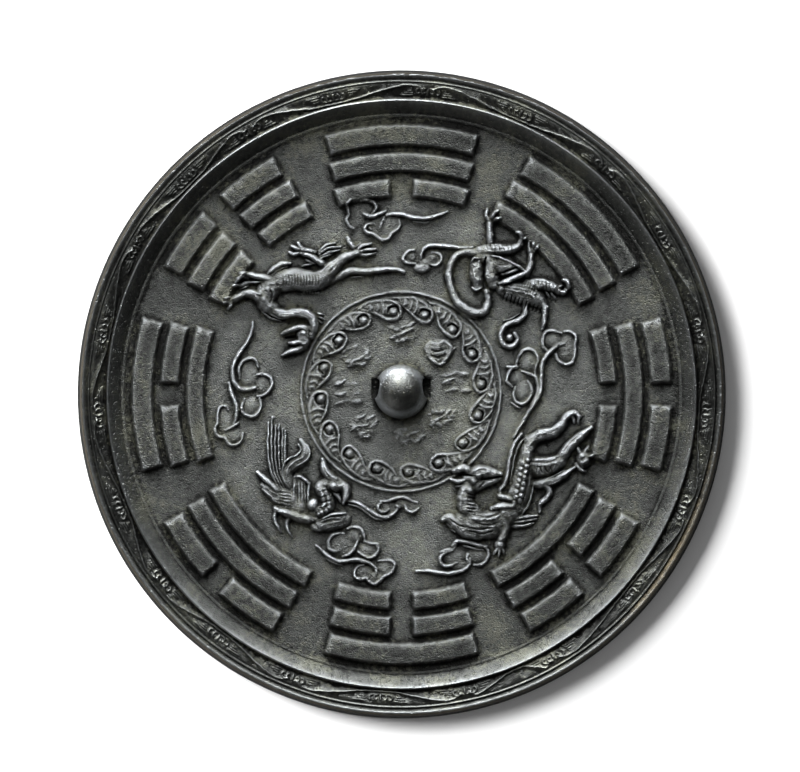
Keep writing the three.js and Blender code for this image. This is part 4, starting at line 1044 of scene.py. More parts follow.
DRAGON = Figure(
    "dragon",
    strokes=[
        ([(18, -25.9), (20.6, -25), (23.4, -26)], [2, 2.8, 2.4], 3),
        ([(17, -29), (19.4, -29.6), (22.4, -28.6)], [1.2, 1.9, 1.6], 2.1),
        ([(23, -28), (26.4, -26.6), (29.8, -26.7), (33.6, -27)], [4.6, 5, 3.8, 1.5], 3.6),
        ([(23.8, -31.6), (26.6, -30.6), (29.9, -29.7), (33.4, -28.6)], [4, 3.2, 2.3, 1.2], 2.8),
        ([(23.4, -30), (21.7, -33.8), (21.6, -37.2), (24.4, -41)], [5, 5, 5.6, 6], 3.2),
        ([(20.6, -43), (25.6, -44.3), (30.4, -44), (35.2, -41), (38.6, -37.4)], [6, 8.6, 8.8, 7.4, 6.6], 3.5),
        ([(38.2, -38), (40.1, -33), (41.3, -27.8), (42.2, -23), (42.7, -19), (44.4, -15.4)],
         [6.8, 6.8, 6.4, 5.6, 4.2, 3.6], 3.6),
        ([(30.6, -38.7), (34.6, -37.9), (39, -38.2)], [1.6, 2.9, 2.2], 3.9),
        ([(33, -34.5), (35.6, -35.2), (38.4, -35.8)], [1.6, 2.4, 2], 3),
        ([(40.6, -13.4), (38.2, -17), (36.7, -21.6), (35.9, -27), (34.9, -30.4), (33.4, -32.6),
          (33.8, -34.8)], [1.1, 1.5, 1.5, 1.4, 1.2], 1.9),
        ([(43.4, -15.9), (47, -13.9), (51.4, -12.9), (54.4, -10.2), (56, -7.4), (58.8, -6.3), (60.2, -7.6)],
         [3.6, 3.8, 3.6, 2.9, 2.4, 1.6], 3),
        ([(57.6, -6.6), (58.6, -9.6)], [1.6, 0.8], 2),
        ([(59.8, -7), (60, -9.9)], [1.5, 0.7], 1.9),
        ([(43.4, -24.4), (48.8, -24.6), (53.8, -22.7)], [6.6, 6.4, 4], 3.5),
        ([(53.6, -22.6), (56.4, -18.3), (59.8, -15), (64.3, -11.3)], [3.8, 3.4, 3, 1.2], 2.9),
        ([(60.6, -20), (59.6, -18)], [1.7, 0.9], 2.1),
        ([(62, -19.8), (63.3, -17.8)], [1.7, 0.9], 2.1),
        ([(63, -21.4), (65, -20.6)], [1.4, 0.8], 1.7),
        ([(59.2, -23.8), (60.6, -25.4), (62.4, -26)], [1.3, 1.4, 0.8], 1.8),
        ([(45, -30.4), (50.8, -29.3), (55, -27.4), (58.6, -24.8)], [2.6, 3.4, 2.6, 1], 2.5),
        ([(46, -30.8), (48.9, -30.9), (50.2, -33), (49, -35.4), (47.1, -37.2), (46.8, -39.8)],
         [2, 2.2, 2.2, 1.8, 1], 2.1),
        ([(37.4, -42.5), (41.5, -41.6), (45.9, -41.3)], [1.6, 1.4, 0.8], 2),
        ([(37.4, -43.6), (42, -43), (45.6, -42.4)], [1.5, 1.3, 0.7], 1.8),
        ([(37.2, -44.8), (41.4, -44.6), (44.8, -43.6)], [1.4, 1.2, 0.7], 1.6),
        ([(35.6, -43), (34.6, -47.2), (33.4, -50.6)], [3.8, 3.2, 2.8], 2.8),
        ([(32.8, -51.8), (31.3, -54)], [1.5, 0.8], 1.8),
        ([(33.3, -52.2), (33, -55)], [1.5, 0.8], 1.8),
        ([(33.9, -51.8), (34.8, -54)], [1.4, 0.8], 1.7),
        ([(24.6, -45.8), (21.2, -45.2), (18.2, -43.6), (16, -41.9), (13.8, -42.6)], [5, 5, 4, 3.2, 1.6], 2.7),
        ([(18, -44.8), (21.6, -47), (26.4, -48.4)], [2, 3.6, 2.4], 2.4),
    ],
    domes=[(61.8, -21.9, 2.7, 3.2, 2.7), (33.3, -51, 2, 1.8, 2.5), (24.8, -28.6, 3, 3, 3.3)],
    ridges=[
        ([(22.5, -30.2), (20.3, -31), (18.3, -31.4)], [1, 0.9, 0.5], 1.6),
        ([(42.2, -14.2), (39.6, -17.6), (38.2, -22), (37.3, -27), (36.6, -30.6)], [0.8, 1, 0.9, 0.7], 1.5),
        ([(44.6, -30.6), (44.2, -33.4), (43.4, -36.4), (42, -39), (40.6, -41)], [0.9, 1, 0.8], 2.4),
        ([(47, -29.4), (51, -28), (55.2, -25.8)], [0.7, 0.9, 0.5], 2.4),
        ([(48.6, -30.8), (52.4, -29.8), (56, -27.6)], [0.7, 0.9, 0.5], 2.3),
        ([(15.5, -44), (17.3, -45.5)], [0.9, 0.7], 1.4),
        ([(16.8, -45.8), (18.3, -46.9)], [0.9, 0.7], 1.3),
        ([(60.6, -24), (61.6, -25)], [0.8, 0.6], 2),
    ],
    lines=[
        ([(24.2, -26), (27, -24.9), (30, -25.6)], [0.9, 0.7], 0.6),
        ([(45.4, -22.2), (49, -21.9), (53, -21)], [0.9, 0.8], 0.6),
        ([(23, -42), (27, -42.6), (31.4, -42), (34.4, -40)], [1, 1], 0.5),
        ([(20.8, -32.4), (19.8, -35.8), (20.2, -39.2)], [0.9, 0.9], 0.5),
        ([(46.4, -12.6), (50.6, -11.6), (53.6, -9.4)], [0.9, 0.8], 0.5),
    ],
    beads=[
        (26.2, -27.8, 1, 0.7), (24.2, -29.6, 1.1, 0.6), (29.4, -26.2, 0.9, 0.5), (23.4, -32.2, 1, 0.5),
        *bead_row((42.9, -22.4), (40.2, -36.2), 8, 0.95, 1.1),
        *bead_row((40.9, -23.4), (38.2, -36.8), 8, 0.85, 0.9),
        (61, -20.8, 1, 0.6), (62.6, -22.6, 1.1, 0.6), (61.2, -23.4, 0.9, 0.5),
        *pebbles([(24.4, -40.9), (29, -41.6), (33.4, -40.4)], 2.6, 0.65, 0.5, 7),
        *pebbles([(43.2, -20.8), (43, -17.6), (45.4, -15)], 2.6, 0.7, 0.45, 8),
        *pebbles([(44.4, -23), (49, -23), (53, -22)], 3, 0.7, 0.5, 10),
        *pebbles([(46, -13.4), (51, -12), (54, -9.8)], 2, 0.6, 0.4, 11),
    ],
    cuts=[
        ([(28, -28.8), (30.6, -28.3), (33.4, -27.8)], [0.6, 0.9, 0.7], 1.1),
        ([(26.4, -31.6), (28, -29.8)], [0.6, 0.6], 0.7),
        ([(19.6, -27.2), (22, -27.3), (24, -27.8)], [0.9, 1.1, 0.7], 1.3),
        *(([(22.4, y), (25, y - 0.4)], [0.6, 0.8], 0.7) for y in (-33.8, -35, -36.2, -37.4, -38.6, -39.8)),
        ([(22, -45), (26, -45.8), (30.6, -45.2)], [0.6, 0.8, 0.5], 0.6),
        ([(23, -46.3), (27, -47.2), (31, -46.4)], [0.6, 0.8, 0.5], 0.6),
        ([(25, -43.6), (29, -44.4), (33, -43.4)], [0.5, 0.7, 0.5], 0.5),
        ([(43.2, -25.4), (42.8, -29), (42, -33), (40.8, -36.6)], [0.6, 0.8, 0.6], 0.7),
        *(([(x, -24.6), (x + 1, -26.6)], [0.6, 0.5], 0.6) for x in (45, 46.8, 48.6, 50.4)),
        ([(54.6, -19.6), (57.6, -16), (61, -13.4)], [0.5, 0.6, 0.5], 0.5),
        ([(16.4, -42.4), (18.4, -43.8), (21.6, -45.2)], [0.6, 0.6, 0.5], 0.6),
    ],
)

# Where the six long feathers of the phoenix's tail end
PLUME_TOPS = ((-45.2, -9.5), (-44.0, -7.6), (-42.8, -10.5), (-41.6, -10.2), (-40.4, -11.8), (-39.5, -12.4))

PHOENIX = Figure(
    "phoenix",
    strokes=[
        ([(-34.2, -15.6), (-32.7, -18.6), (-33.3, -21.7), (-36.4, -23.5), (-38.8, -26), (-38.5, -29.5),
          (-37, -32.6)], [1.4, 3.2, 4, 3.8, 3.6, 3], 1.9),
        ([(-26.9, -22), (-25.9, -26), (-23.5, -28.6), (-20.9, -29.8)], [1.3, 2.6, 3, 2], 2.3),
        ([(-48.9, -26.4), (-45, -30), (-41, -33.4)], [1.2, 2, 2.2], 2.4),
        ([(-47.4, -30.6), (-44, -33.4), (-40.6, -35.8)], [1.4, 4, 5], 1.8),
        ([(-35.2, -28.9), (-33.9, -32.8), (-33.8, -37.4)], [3.8, 5, 4.8], 2.5),
        ([(-40.8, -34.2), (-37.4, -36.2), (-33.4, -39.4)], [5.6, 7, 5], 2.6),
        ([(-42.7, -38.7), (-37.5, -40.5), (-32.8, -42.2), (-29, -42.4)], [1.8, 3.2, 3.4, 2.2], 2.7),
        ([(-30, -40.4), (-26.9, -39.6), (-25, -37), (-26.2, -33.8), (-27.4, -31.6), (-25.4, -30)],
         [4.2, 4.6, 4.4, 4, 3.4], 2.5),
        ([(-21.4, -30.4), (-19.2, -31.8), (-18.9, -34.2), (-19.8, -36.9)], [3, 3.2, 2.6, 1], 2.6),
        ([(-23, -33), (-21.4, -34.8), (-20.7, -36.4)], [2, 1.8, 0.8], 2),
        ([(-29.6, -44.8), (-24.8, -43.6), (-20, -42.3)], [2.6, 5.4, 5], 2.3),
        ([(-30.4, -44.6), (-29, -45.7), (-26.8, -46.2)], [1.2, 1.5, 0.8], 1.7),
        ([(-42.2, -38.4), (-43.2, -41), (-42.5, -44), (-41, -46.6)], [1.3, 1.2, 0.7], 1.3),
        ([(-37.8, -41.6), (-39, -43.8), (-38.6, -46), (-37.2, -48.2)], [1.5, 1.3, 0.7], 1.4),
    ],
    domes=[
        (-30.3, -37.5, 2.4, 2.3, 3.5),
        (-22.8, -31, 3.3, 2.5, 3),
    ],
    ridges=[
        *(([(x, top), (x - 0.1, -20), (x + 1.2 - i * 0.2, -27), (x + 4.2 - i * 0.4, -32.4),
            (-38.2 + i * 0.1, -34.4)], [0.7, 1.1, 1.1, 1.0, 0.8], 1.6)
          for i, (x, top) in enumerate(PLUME_TOPS)),
        ([(-33.8, -16), (-31.7, -18), (-31.2, -20.5), (-32.5, -22.5), (-35.5, -24.3), (-37.3, -25.5)],
         [0.7, 0.9, 0.8], 2.2),
        ([(-35, -17), (-34.2, -19), (-36, -20.8), (-38.3, -21.8), (-39.8, -23.5), (-40.5, -26.5),
          (-39.5, -30), (-37, -33)], [0.7, 0.9, 0.9, 0.8], 2.1),
        ([(-46.8, -30.8), (-44, -33), (-41, -34.5)], [0.8, 0.8], 2.2),
        ([(-47.3, -32.3), (-44, -34.8), (-41, -36.6)], [0.8, 0.8], 2.1),
        ([(-44.5, -35), (-42.5, -36.5), (-40.8, -37.3)], [0.8, 0.7], 2.0),
        ([(-36.4, -28), (-34, -28.2), (-31.4, -30.2)], [1, 1.3, 1.1], 3),
        ([(-31.4, -30.4), (-31.8, -34), (-31.7, -37.4)], [1, 1.2, 1], 2.9),
        ([(-36.4, -29.6), (-36.6, -33), (-36.4, -36.6)], [0.8, 1, 0.8], 2.7),
        ([(-28, -42.8), (-23.6, -40.9), (-19.1, -40.4)], [1, 1.5, 1], 2.9),
        ([(-28.6, -43.8), (-24.4, -42.2), (-19.4, -41.7)], [0.9, 1.1, 0.8], 2.8),
        ([(-28.4, -44.8), (-24.2, -43.6), (-19.8, -43)], [0.9, 1.1, 0.8], 2.6),
        ([(-27.2, -45.8), (-23.4, -44.9), (-20, -44.3)], [0.8, 1, 0.7], 2.2),
    ],
    lines=[
        ([(-33.2, -18.4), (-33.2, -21), (-36, -22.6), (-38.6, -25), (-39, -28)], [0.5, 0.6, 0.5], 0.4),
        ([(-26.2, -24.4), (-24.4, -27.2), (-21.8, -28.8)], [0.7, 0.7], 0.5),
        ([(-43.5, -39.4), (-38.8, -40.4), (-34.8, -42)], [0.5, 0.5], 0.4),
    ],
    beads=[
        (-23.2, -31, 1, 0.6), (-20.8, -31.2, 0.8, 0.5), (-25.8, -30.6, 0.8, 0.5),
        (-43.5, -7.9, 0.7, 0.5), (-42, -11.5, 0.6, 0.4), (-40, -11.9, 0.6, 0.4),
        *pebbles([(-28.6, -40), (-25.6, -38), (-26, -34.4), (-27.2, -31.8)], 3.4, 0.75, 0.7, 9),
    ],
    cuts=[
        *rungs(-41.4, -37.6, -38.6, -33, 1.1, 0.5),
        *(([(x, -29.8), (x + 0.2, -36.8)], [0.6, 0.5], 0.6) for x in (-35.5, -34.4, -33.3, -32.4)),
        ([(-24.4, -32), (-22.4, -33.4), (-20.6, -33.2)], [0.7, 0.8, 0.5], 1),
        *(([(x, y), (x + 3.2, y + 0.8)], [0.5, 0.6], 0.7) for x,
          y in ((-28, -38.6), (-27.4, -36.8), (-27.8, -35), (-28.6, -33.2))),
        *(([(-46 + k * 1.6, -29 - k * 1.3), (-45 + k * 1.6, -30 - k * 1.2)], [0.5, 0.4], 0.35)
          for k in range(4)),
        ([(-27.2, -22.6), (-26, -26), (-24, -29)], [0.4, 0.4], 0.4),
    ],
)


@dataclass
class Cloud:
    """A cloud: flat low lobes, the raised edge that runs round them and curls in, and plain ribbons."""

    name: str
    lobes: list[Dome]
    edges: list[list[Point]]
    ribbons: list[Stroke] = field(default_factory=list)
    edge_width: float = 1.3
    edge_height: float = 1.35
    edge_shares: tuple[float, ...] = (0.75, 1.1, 1.1, 0.75)

    def shape(self, surface: CastingSurface) -> None:
        """Raises the lobes, then their edges, then the ribbons.

        Args:
            surface: The decorated side.
        """
        for lobe in self.lobes:
            surface.dome(*lobe)
        for edge in self.edges:
            widths = [self.edge_width * share for share in self.edge_shares]
            surface.stroke(edge, widths, self.edge_height, Section.BODY)
        for path, widths, height in self.ribbons:
            surface.stroke(path, widths, height, Section.BODY)


CLOUDS = [
    Cloud(
        "cloud_above_the_tail",
        [(-14, 62.6, 4.2, 3.2, 0.9), (-15.6, 59.4, 3, 3, 0.6), (-6, 56.6, 5.6, 4.2, 0.8),
         (-2.6, 58, 2.8, 2.2, 0.6)],
        [
            [(-13.8, 65.3), (-11.4, 65.6), (-9.3, 65), (-8.7, 63.6), (-9.4, 62), (-10.4, 60.9)],
            [(-17.4, 66), (-18.5, 64.2), (-18.2, 62.4), (-17.8, 60.8), (-18.7, 59.2), (-18, 57.4),
             (-16.6, 56.4)],
            [(-9.4, 58), (-11.4, 57.7), (-12.6, 56.4), (-12, 54.9), (-9.8, 54.5), (-8.2, 53.2), (-6.4, 52.4),
             (-4.5, 53), (-3.2, 54.8), (-1.4, 56), (-0.5, 57.6), (-0.9, 59.2)],
            [(-6, 60.2), (-6.6, 58.4), (-7.4, 56.4)],
        ],
        [
            ([(-12.8, 61.2), (-10.4, 60.3), (-8, 61), (-5.6, 62)], [1.6, 1.8, 1.6, 1.1], 1.8),
            ([(-4.8, 60.9), (-3, 61.2), (0, 61), (4, 60), (8, 59.7), (11.4, 60.4), (15.4, 62)],
             [1.6, 1.7, 1.7, 1.6, 1.4, 0.8], 1.7),
            ([(-11, 56.4), (-10.4, 55.9)], [0.9, 0.7], 1.2),
            ([(4, 58.6), (7.4, 58.3), (10, 58.7)], [0.6, 0.8, 0.5], 0.7),
        ],
    ),
    Cloud(
        "cloud_before_the_snake",
        [(2.6, 46.6, 2.4, 2, 0.7), (10.8, 46.2, 3, 2.4, 0.8), (6.9, 42.8, 3, 1.8, 1.8),
         (8, 44.8, 2.4, 1.4, 1)],
        [
            [(4.3, 48.9), (2.6, 48.7), (1.2, 47.4), (0.5, 45.8), (1.6, 44.7), (4.6, 44.3)],
            [(10.2, 48.1), (12.2, 47.9), (13.4, 46.8), (13.2, 45), (11.6, 43.8), (9.4, 44.2)],
            [(4.6, 44.2), (5.6, 42.8), (7, 41.9), (8.8, 42.8)],
        ],
        [
            ([(6.6, 46.2), (7, 48.4), (8.4, 50.1), (11, 50.5), (15.4, 50.3), (19.4, 49.7), (24, 49.9)],
             [1.3, 1.4, 1.6, 1.7, 1.5, 1], 1.7),
            ([(10.4, 46.4), (11.8, 46.2)], [0.9, 0.7], 1.3),
        ],
    ),
    Cloud(
        "cloud_right_of_the_ring",
        [(51.2, 18.4, 3.2, 2.8, 0.9), (56.2, 15.4, 3.2, 4.6, 0.9), (42.8, 11.2, 3.2, 3.6, 0.9),
         (41.2, 1, 3, 3.9, 0.9), (39, 5.6, 2.6, 2.6, 0.6)],
        [
            [(49.4, 14.6), (48, 16.2), (48, 19), (49.2, 21.2), (51.4, 21.6), (54, 20.8)],
            [(55.2, 21.3), (57.2, 21.3), (58.9, 20), (58.9, 17), (58.7, 13.6), (57.8, 10.8), (55.6, 10.2),
             (53.4, 11.2), (52.2, 13.6)],
            [(38.8, 9.6), (39.6, 12.4), (41, 14.6), (43, 15.3), (45.2, 14.4), (46.2, 12), (45.6, 9),
             (45.2, 6.6)],
            [(40.8, 7.8), (43, 7), (45.4, 5.8), (46.2, 3), (45.8, 0), (44.2, -3.6), (42.4, -6.6)],
            [(42.8, 4.4), (44, 2.6), (44.1, 0.4), (42.8, -2.2), (41, -3.3), (39, -2.6), (38, -0.2),
             (38.6, 2.4)],
        ],
        [
            ([(55.2, 17.3), (53, 16.6), (51, 15), (49, 12.8), (47.8, 10.4), (47.4, 6.4), (47.3, 2.4),
              (46.4, -0.8), (44, -4.6), (41.6, -8.6), (39.6, -12), (38, -14.6)],
             [1.7, 1.9, 1.8, 1.6, 1.6, 1.5, 1], 1.7),
            ([(38.9, 9.2), (37.2, 8.6), (36, 6.4), (35.9, 4.4), (37.4, 2.6)], [1.8, 1.5, 1.2, 0.8], 1.5),
            ([(35.6, 9.5), (37.2, 9.2), (38.7, 9.4)], [0.8, 1.3, 0.8], 1.5),
            ([(37.4, -3), (38.8, -4.2), (40.2, -4.7)], [0.8, 0.9, 0.6], 1),
        ],
    ),
    Cloud(
        "cloud_left_of_the_ring",
        [(-51.8, 6.6, 3.2, 4.8, 0.8), (-47, 3, 2.6, 3.2, 0.8), (-50.9, -4, 3, 3.4, 0.8),
         (-60, -9, 2.6, 4.4, 0.8), (-57.4, -13.8, 3.4, 2.8, 0.8)],
        [
            [(-55, 5.4), (-55.2, 8.4), (-54, 11), (-51.8, 12.2), (-49.6, 11.6), (-48.8, 9.4)],
            [(-49.2, 6.6), (-47.2, 6.8), (-44.6, 5.8), (-44, 3.6), (-44.8, 1.4), (-46.8, -0.3), (-49, -0.7)],
            [(-53.2, -1.6), (-54.3, -4.2), (-53.4, -6.6), (-51, -7.6), (-48.9, -6.6), (-47.8, -4.2),
             (-48.2, -1.2)],
            [(-58.8, -5.2), (-60, -4), (-61.6, -4.4), (-62.4, -7), (-62.4, -9.4), (-63.3, -12), (-62.6, -14),
             (-60.2, -14.8), (-58.6, -16.8), (-56.4, -17.2), (-54.4, -15.8), (-53.9, -13.2)],
            [(-59.8, -12.2), (-57.6, -11.2), (-55.4, -9.8)],
        ],
        [
            ([(-50.4, 24.4), (-51, 21), (-52.6, 17.4), (-55, 14), (-56.8, 10.8), (-57.4, 7.4), (-56.8, 4.2),
              (-54.8, 2), (-52, 1.6), (-49.8, 2.2)], [1, 1.4, 1.5, 1.6, 1.8, 2, 1.4], 1.7),
            ([(-58.6, 4), (-58, 1), (-56.8, -1.8), (-56, -5), (-56.2, -8.2), (-57, -10)],
             [1, 1.6, 1.7, 1.6, 1.2], 1.6),
        ],
    ),
    Cloud(
        "cloud_under_the_ring",
        [(-4.6, -38.6, 3, 2.4, 0.7), (0.4, -37, 2.6, 1.8, 0.7), (3.4, -38, 2.6, 2.1, 0.7)],
        [
            [(-7.2, -36.3), (-4.4, -36.1), (-1.4, -35.1), (1.2, -35.1), (3.4, -36.2), (5.2, -36.8)],
            [(-7, -36.8), (-8, -38), (-7.6, -39.5), (-5.8, -39.9), (-4.4, -39)],
            [(1, -37.6), (2, -39.4), (4, -40), (5.6, -38.8)],
        ],
        [
            ([(-18.8, -36.2), (-16, -36.5), (-13.4, -37.9), (-10.8, -39.5), (-8.2, -41.1), (-5.4, -41.7),
              (-2.8, -40.6), (-0.9, -38.4)], [1, 1.6, 1.8, 1.7, 1.3], 1.6),
            ([(-18, -37.4), (-15, -38.2), (-12, -40), (-9.4, -41.9), (-6.6, -42.7)], [0.7, 0.9, 0.9, 0.6],
             1.2),
            ([(-1.8, -37.9), (-0.9, -38.3)], [1.4, 1.2], 1.6),
        ],
    ),
    Cloud(
        "cloud_under_the_phoenix",
        [(-20.4, -51, 4.4, 4, 0.9), (-15.6, -47.8, 2.8, 2.6, 0.9), (-11.2, -52.8, 3.2, 2.6, 0.8),
         (-12.8, -60.4, 3, 2.4, 0.8), (-5.2, -59, 3.2, 2.8, 0.8), (-9, -62.2, 3, 2.2, 0.9)],
        [
            [(-19.6, -47.3), (-22.2, -47.3), (-24.2, -48.7), (-24.9, -50.8), (-24.1, -52.7), (-22, -53.2),
             (-20.8, -52.4)],
            [(-20.2, -55.2), (-17.8, -54.2), (-16, -52.2), (-15, -49.8)],
            [(-18.4, -45.6), (-16, -45), (-13.8, -45.9), (-12.8, -47.8), (-12.6, -49.7)],
            [(-12.8, -49.9), (-10.6, -50.6), (-8.4, -50.9), (-7.9, -52.6), (-9, -54.6), (-11.2, -55.4),
             (-13.6, -54.4), (-14.8, -53.4)],
            [(-12.8, -57.9), (-14.8, -58.4), (-16, -60.2), (-15.6, -62), (-13.8, -62.7), (-12, -62.4),
             (-11, -63.4), (-9.2, -64.4), (-7.4, -63.4), (-6, -61.8), (-4, -60.9), (-2.6, -59), (-2.6, -57.2),
             (-4.6, -56.3), (-7.8, -56.6)],
        ],
        [
            ([(-29, -51.3), (-27, -53), (-25, -54.8), (-22.6, -56.3), (-19.4, -56.6), (-16, -56.1),
              (-13, -56.5), (-10.2, -57.7), (-8.5, -59.2)], [0.9, 1.3, 1.5, 1.7, 1.5, 1.1], 1.6),
            ([(-25.8, -55.6), (-23, -57.2), (-20, -57.9)], [0.7, 0.8, 0.5], 1),
            ([(-8.8, -59.2), (-8.6, -60.6), (-9, -62)], [1, 1, 0.8], 1.4),
        ],
    ),
    Cloud(
        "cloud_under_the_dragon",
        [(17.6, -54.8, 4, 3.2, 0.8), (25.6, -54.6, 3.4, 2.8, 0.8), (19.4, -58, 3.4, 1.8, 0.6)],
        [
            [(18.6, -50.8), (17.2, -52.8), (14.8, -53.9), (13.1, -55.4), (13.4, -57.4), (15, -58.3),
             (17, -58), (18.8, -57.1)],
            [(28.2, -51.9), (29.4, -53.4), (29.2, -55.4), (28, -57.2), (26.2, -57.9), (24.6, -57.8)],
            [(13.2, -53.7), (15, -52.9), (16.8, -52.5)],
        ],
        [
            ([(17.2, -51.4), (18.6, -50), (20.6, -49.8), (23.2, -50.4), (26, -51.2), (28.6, -51.7)],
             [1.2, 1.6, 1.7, 1.7, 1.5], 1.7),
            ([(5, -60), (9, -59.9), (12.4, -60.5), (15.4, -60.8), (18.4, -60.4), (21, -59.6), (22.8, -58),
              (23.3, -55.8)], [1, 1.5, 1.7, 1.6, 1.4], 1.6),
            ([(21.2, -51.4), (24, -52.2), (27.6, -52.8)], [0.8, 1, 0.7], 1.3),
            ([(22.3, -54.2), (22.3, -57.4)], [1.5, 0.8], 1.5),
        ],
    ),
]


def node(tree: bpy.types.NodeTree, kind: str, **values: object) -> bpy.types.Node:
    """Adds a shader node and sets its properties and plain inputs.

    Args:
        tree: The tree that the node joins.
        kind: Blender's name of the node type.
        **values: Properties by name; a name that isn't a property sets the input of that name.

    Returns:
        The new node.
    """
    made = tree.nodes.new(kind)
    for name, value in values.items():
        if hasattr(made, name):
            setattr(made, name, value)
        else:
            made.inputs[name.replace("_", " ")].default_value = value
    return made


def reckon(
    tree: bpy.types.NodeTree, operation: str, *terms: bpy.types.NodeSocket | float, clamped: bool = False
) -> bpy.types.NodeSocket:
    """Adds a node that works out one value from others.

    Args:
        tree: The tree that the node joins.
        operation: Blender's name of the operation.
        *terms: What it works on, as outputs of other nodes or as plain numbers.
        clamped: Whether the result is kept between 0 and 1.

    Returns:
        The output with the result.
    """
    made = node(tree, "ShaderNodeMath", operation=operation, use_clamp=clamped)
    for socket, term in zip(made.inputs, terms):
        if isinstance(term, bpy.types.NodeSocket):
            tree.links.new(term, socket)
        else:
            socket.default_value = term
    return made.outputs[0]


@dataclass(frozen=True)
class CastGrain:
    """The cast skin: fine grain, coarser blotches and small pits, as one group of nodes."""

    name: str = "cast_grain"
    fine_scale: float = 2.4
    broad_scale: float = 0.7
    wide_scale: float = 0.07
    pit_scale: float = 0.75
    pit_edge: tuple[float, float] = (0.12, 0.3)
    broad_share: float = 0.45

    def group(self) -> bpy.types.NodeTree:
        """Builds the group once, with a height and a tone that vary over the surface.

        Returns:
            The group, with inputs Grain, Blotch and Pits and outputs Height and Tone.
        """
        found = bpy.data.node_groups.get(self.name)
        if found:
            return found
        tree = bpy.data.node_groups.new(self.name, "ShaderNodeTree")
        for label, value in (("Grain", 1.0), ("Blotch", 1.0), ("Pits", 1.0)):
            socket = tree.interface.new_socket(label, in_out="INPUT", socket_type="NodeSocketFloat")
            socket.default_value = value
        for label in ("Height", "Tone"):
            tree.interface.new_socket(label, in_out="OUTPUT", socket_type="NodeSocketFloat")
        link = tree.links.new
        given = node(tree, "NodeGroupInput")
        result = node(tree, "NodeGroupOutput")
        place = node(tree, "ShaderNodeTexCoord")
        scaled = node(tree, "ShaderNodeVectorMath", operation="SCALE", Scale=1 / MM)
        link(place.outputs["Object"], scaled.inputs[0])
        fine = node(tree, "ShaderNodeTexNoise", Scale=self.fine_scale, Detail=2.0, Roughness=0.6)
        broad = node(tree, "ShaderNodeTexNoise", Scale=self.broad_scale, Detail=4.0, Roughness=0.65)
        wide = node(tree, "ShaderNodeTexNoise", Scale=self.wide_scale, Detail=3.0, Roughness=0.55)
        pits = node(tree, "ShaderNodeTexVoronoi", Scale=self.pit_scale, Randomness=1.0)
        for texture in (fine, broad, wide, pits):
            link(scaled.outputs[0], texture.inputs["Vector"])
        pit_depth = node(
            tree, "ShaderNodeMapRange", interpolation_type="SMOOTHSTEP",
            From_Min=self.pit_edge[0], From_Max=self.pit_edge[1], To_Min=-1.0, To_Max=0.0,
        )
        link(pits.outputs["Distance"], pit_depth.inputs["Value"])
        grain, blotch, pitting = (
            reckon(tree, "MULTIPLY", texture.outputs[0], given.outputs[amount])
            for texture, amount in ((fine, "Grain"), (broad, "Blotch"), (pit_depth, "Pits"))
        )
        link(reckon(tree, "ADD", reckon(tree, "ADD", grain, blotch), pitting), result.inputs["Height"])
        tone = node(tree, "ShaderNodeMix", data_type="FLOAT", Factor=self.broad_share)
        link(wide.outputs[0], tone.inputs["A"])
        link(broad.outputs[0], tone.inputs["B"])
        link(tone.outputs[0], result.inputs["Tone"])
        return tree


@dataclass(frozen=True)
class Stain:
    """A stain: its colour, its strength, the tones where it begins and is full, and the mask it keeps to."""

    colour: tuple[float, float, float]
    strength: float
    begins: float
    full: float
    place: str = ""


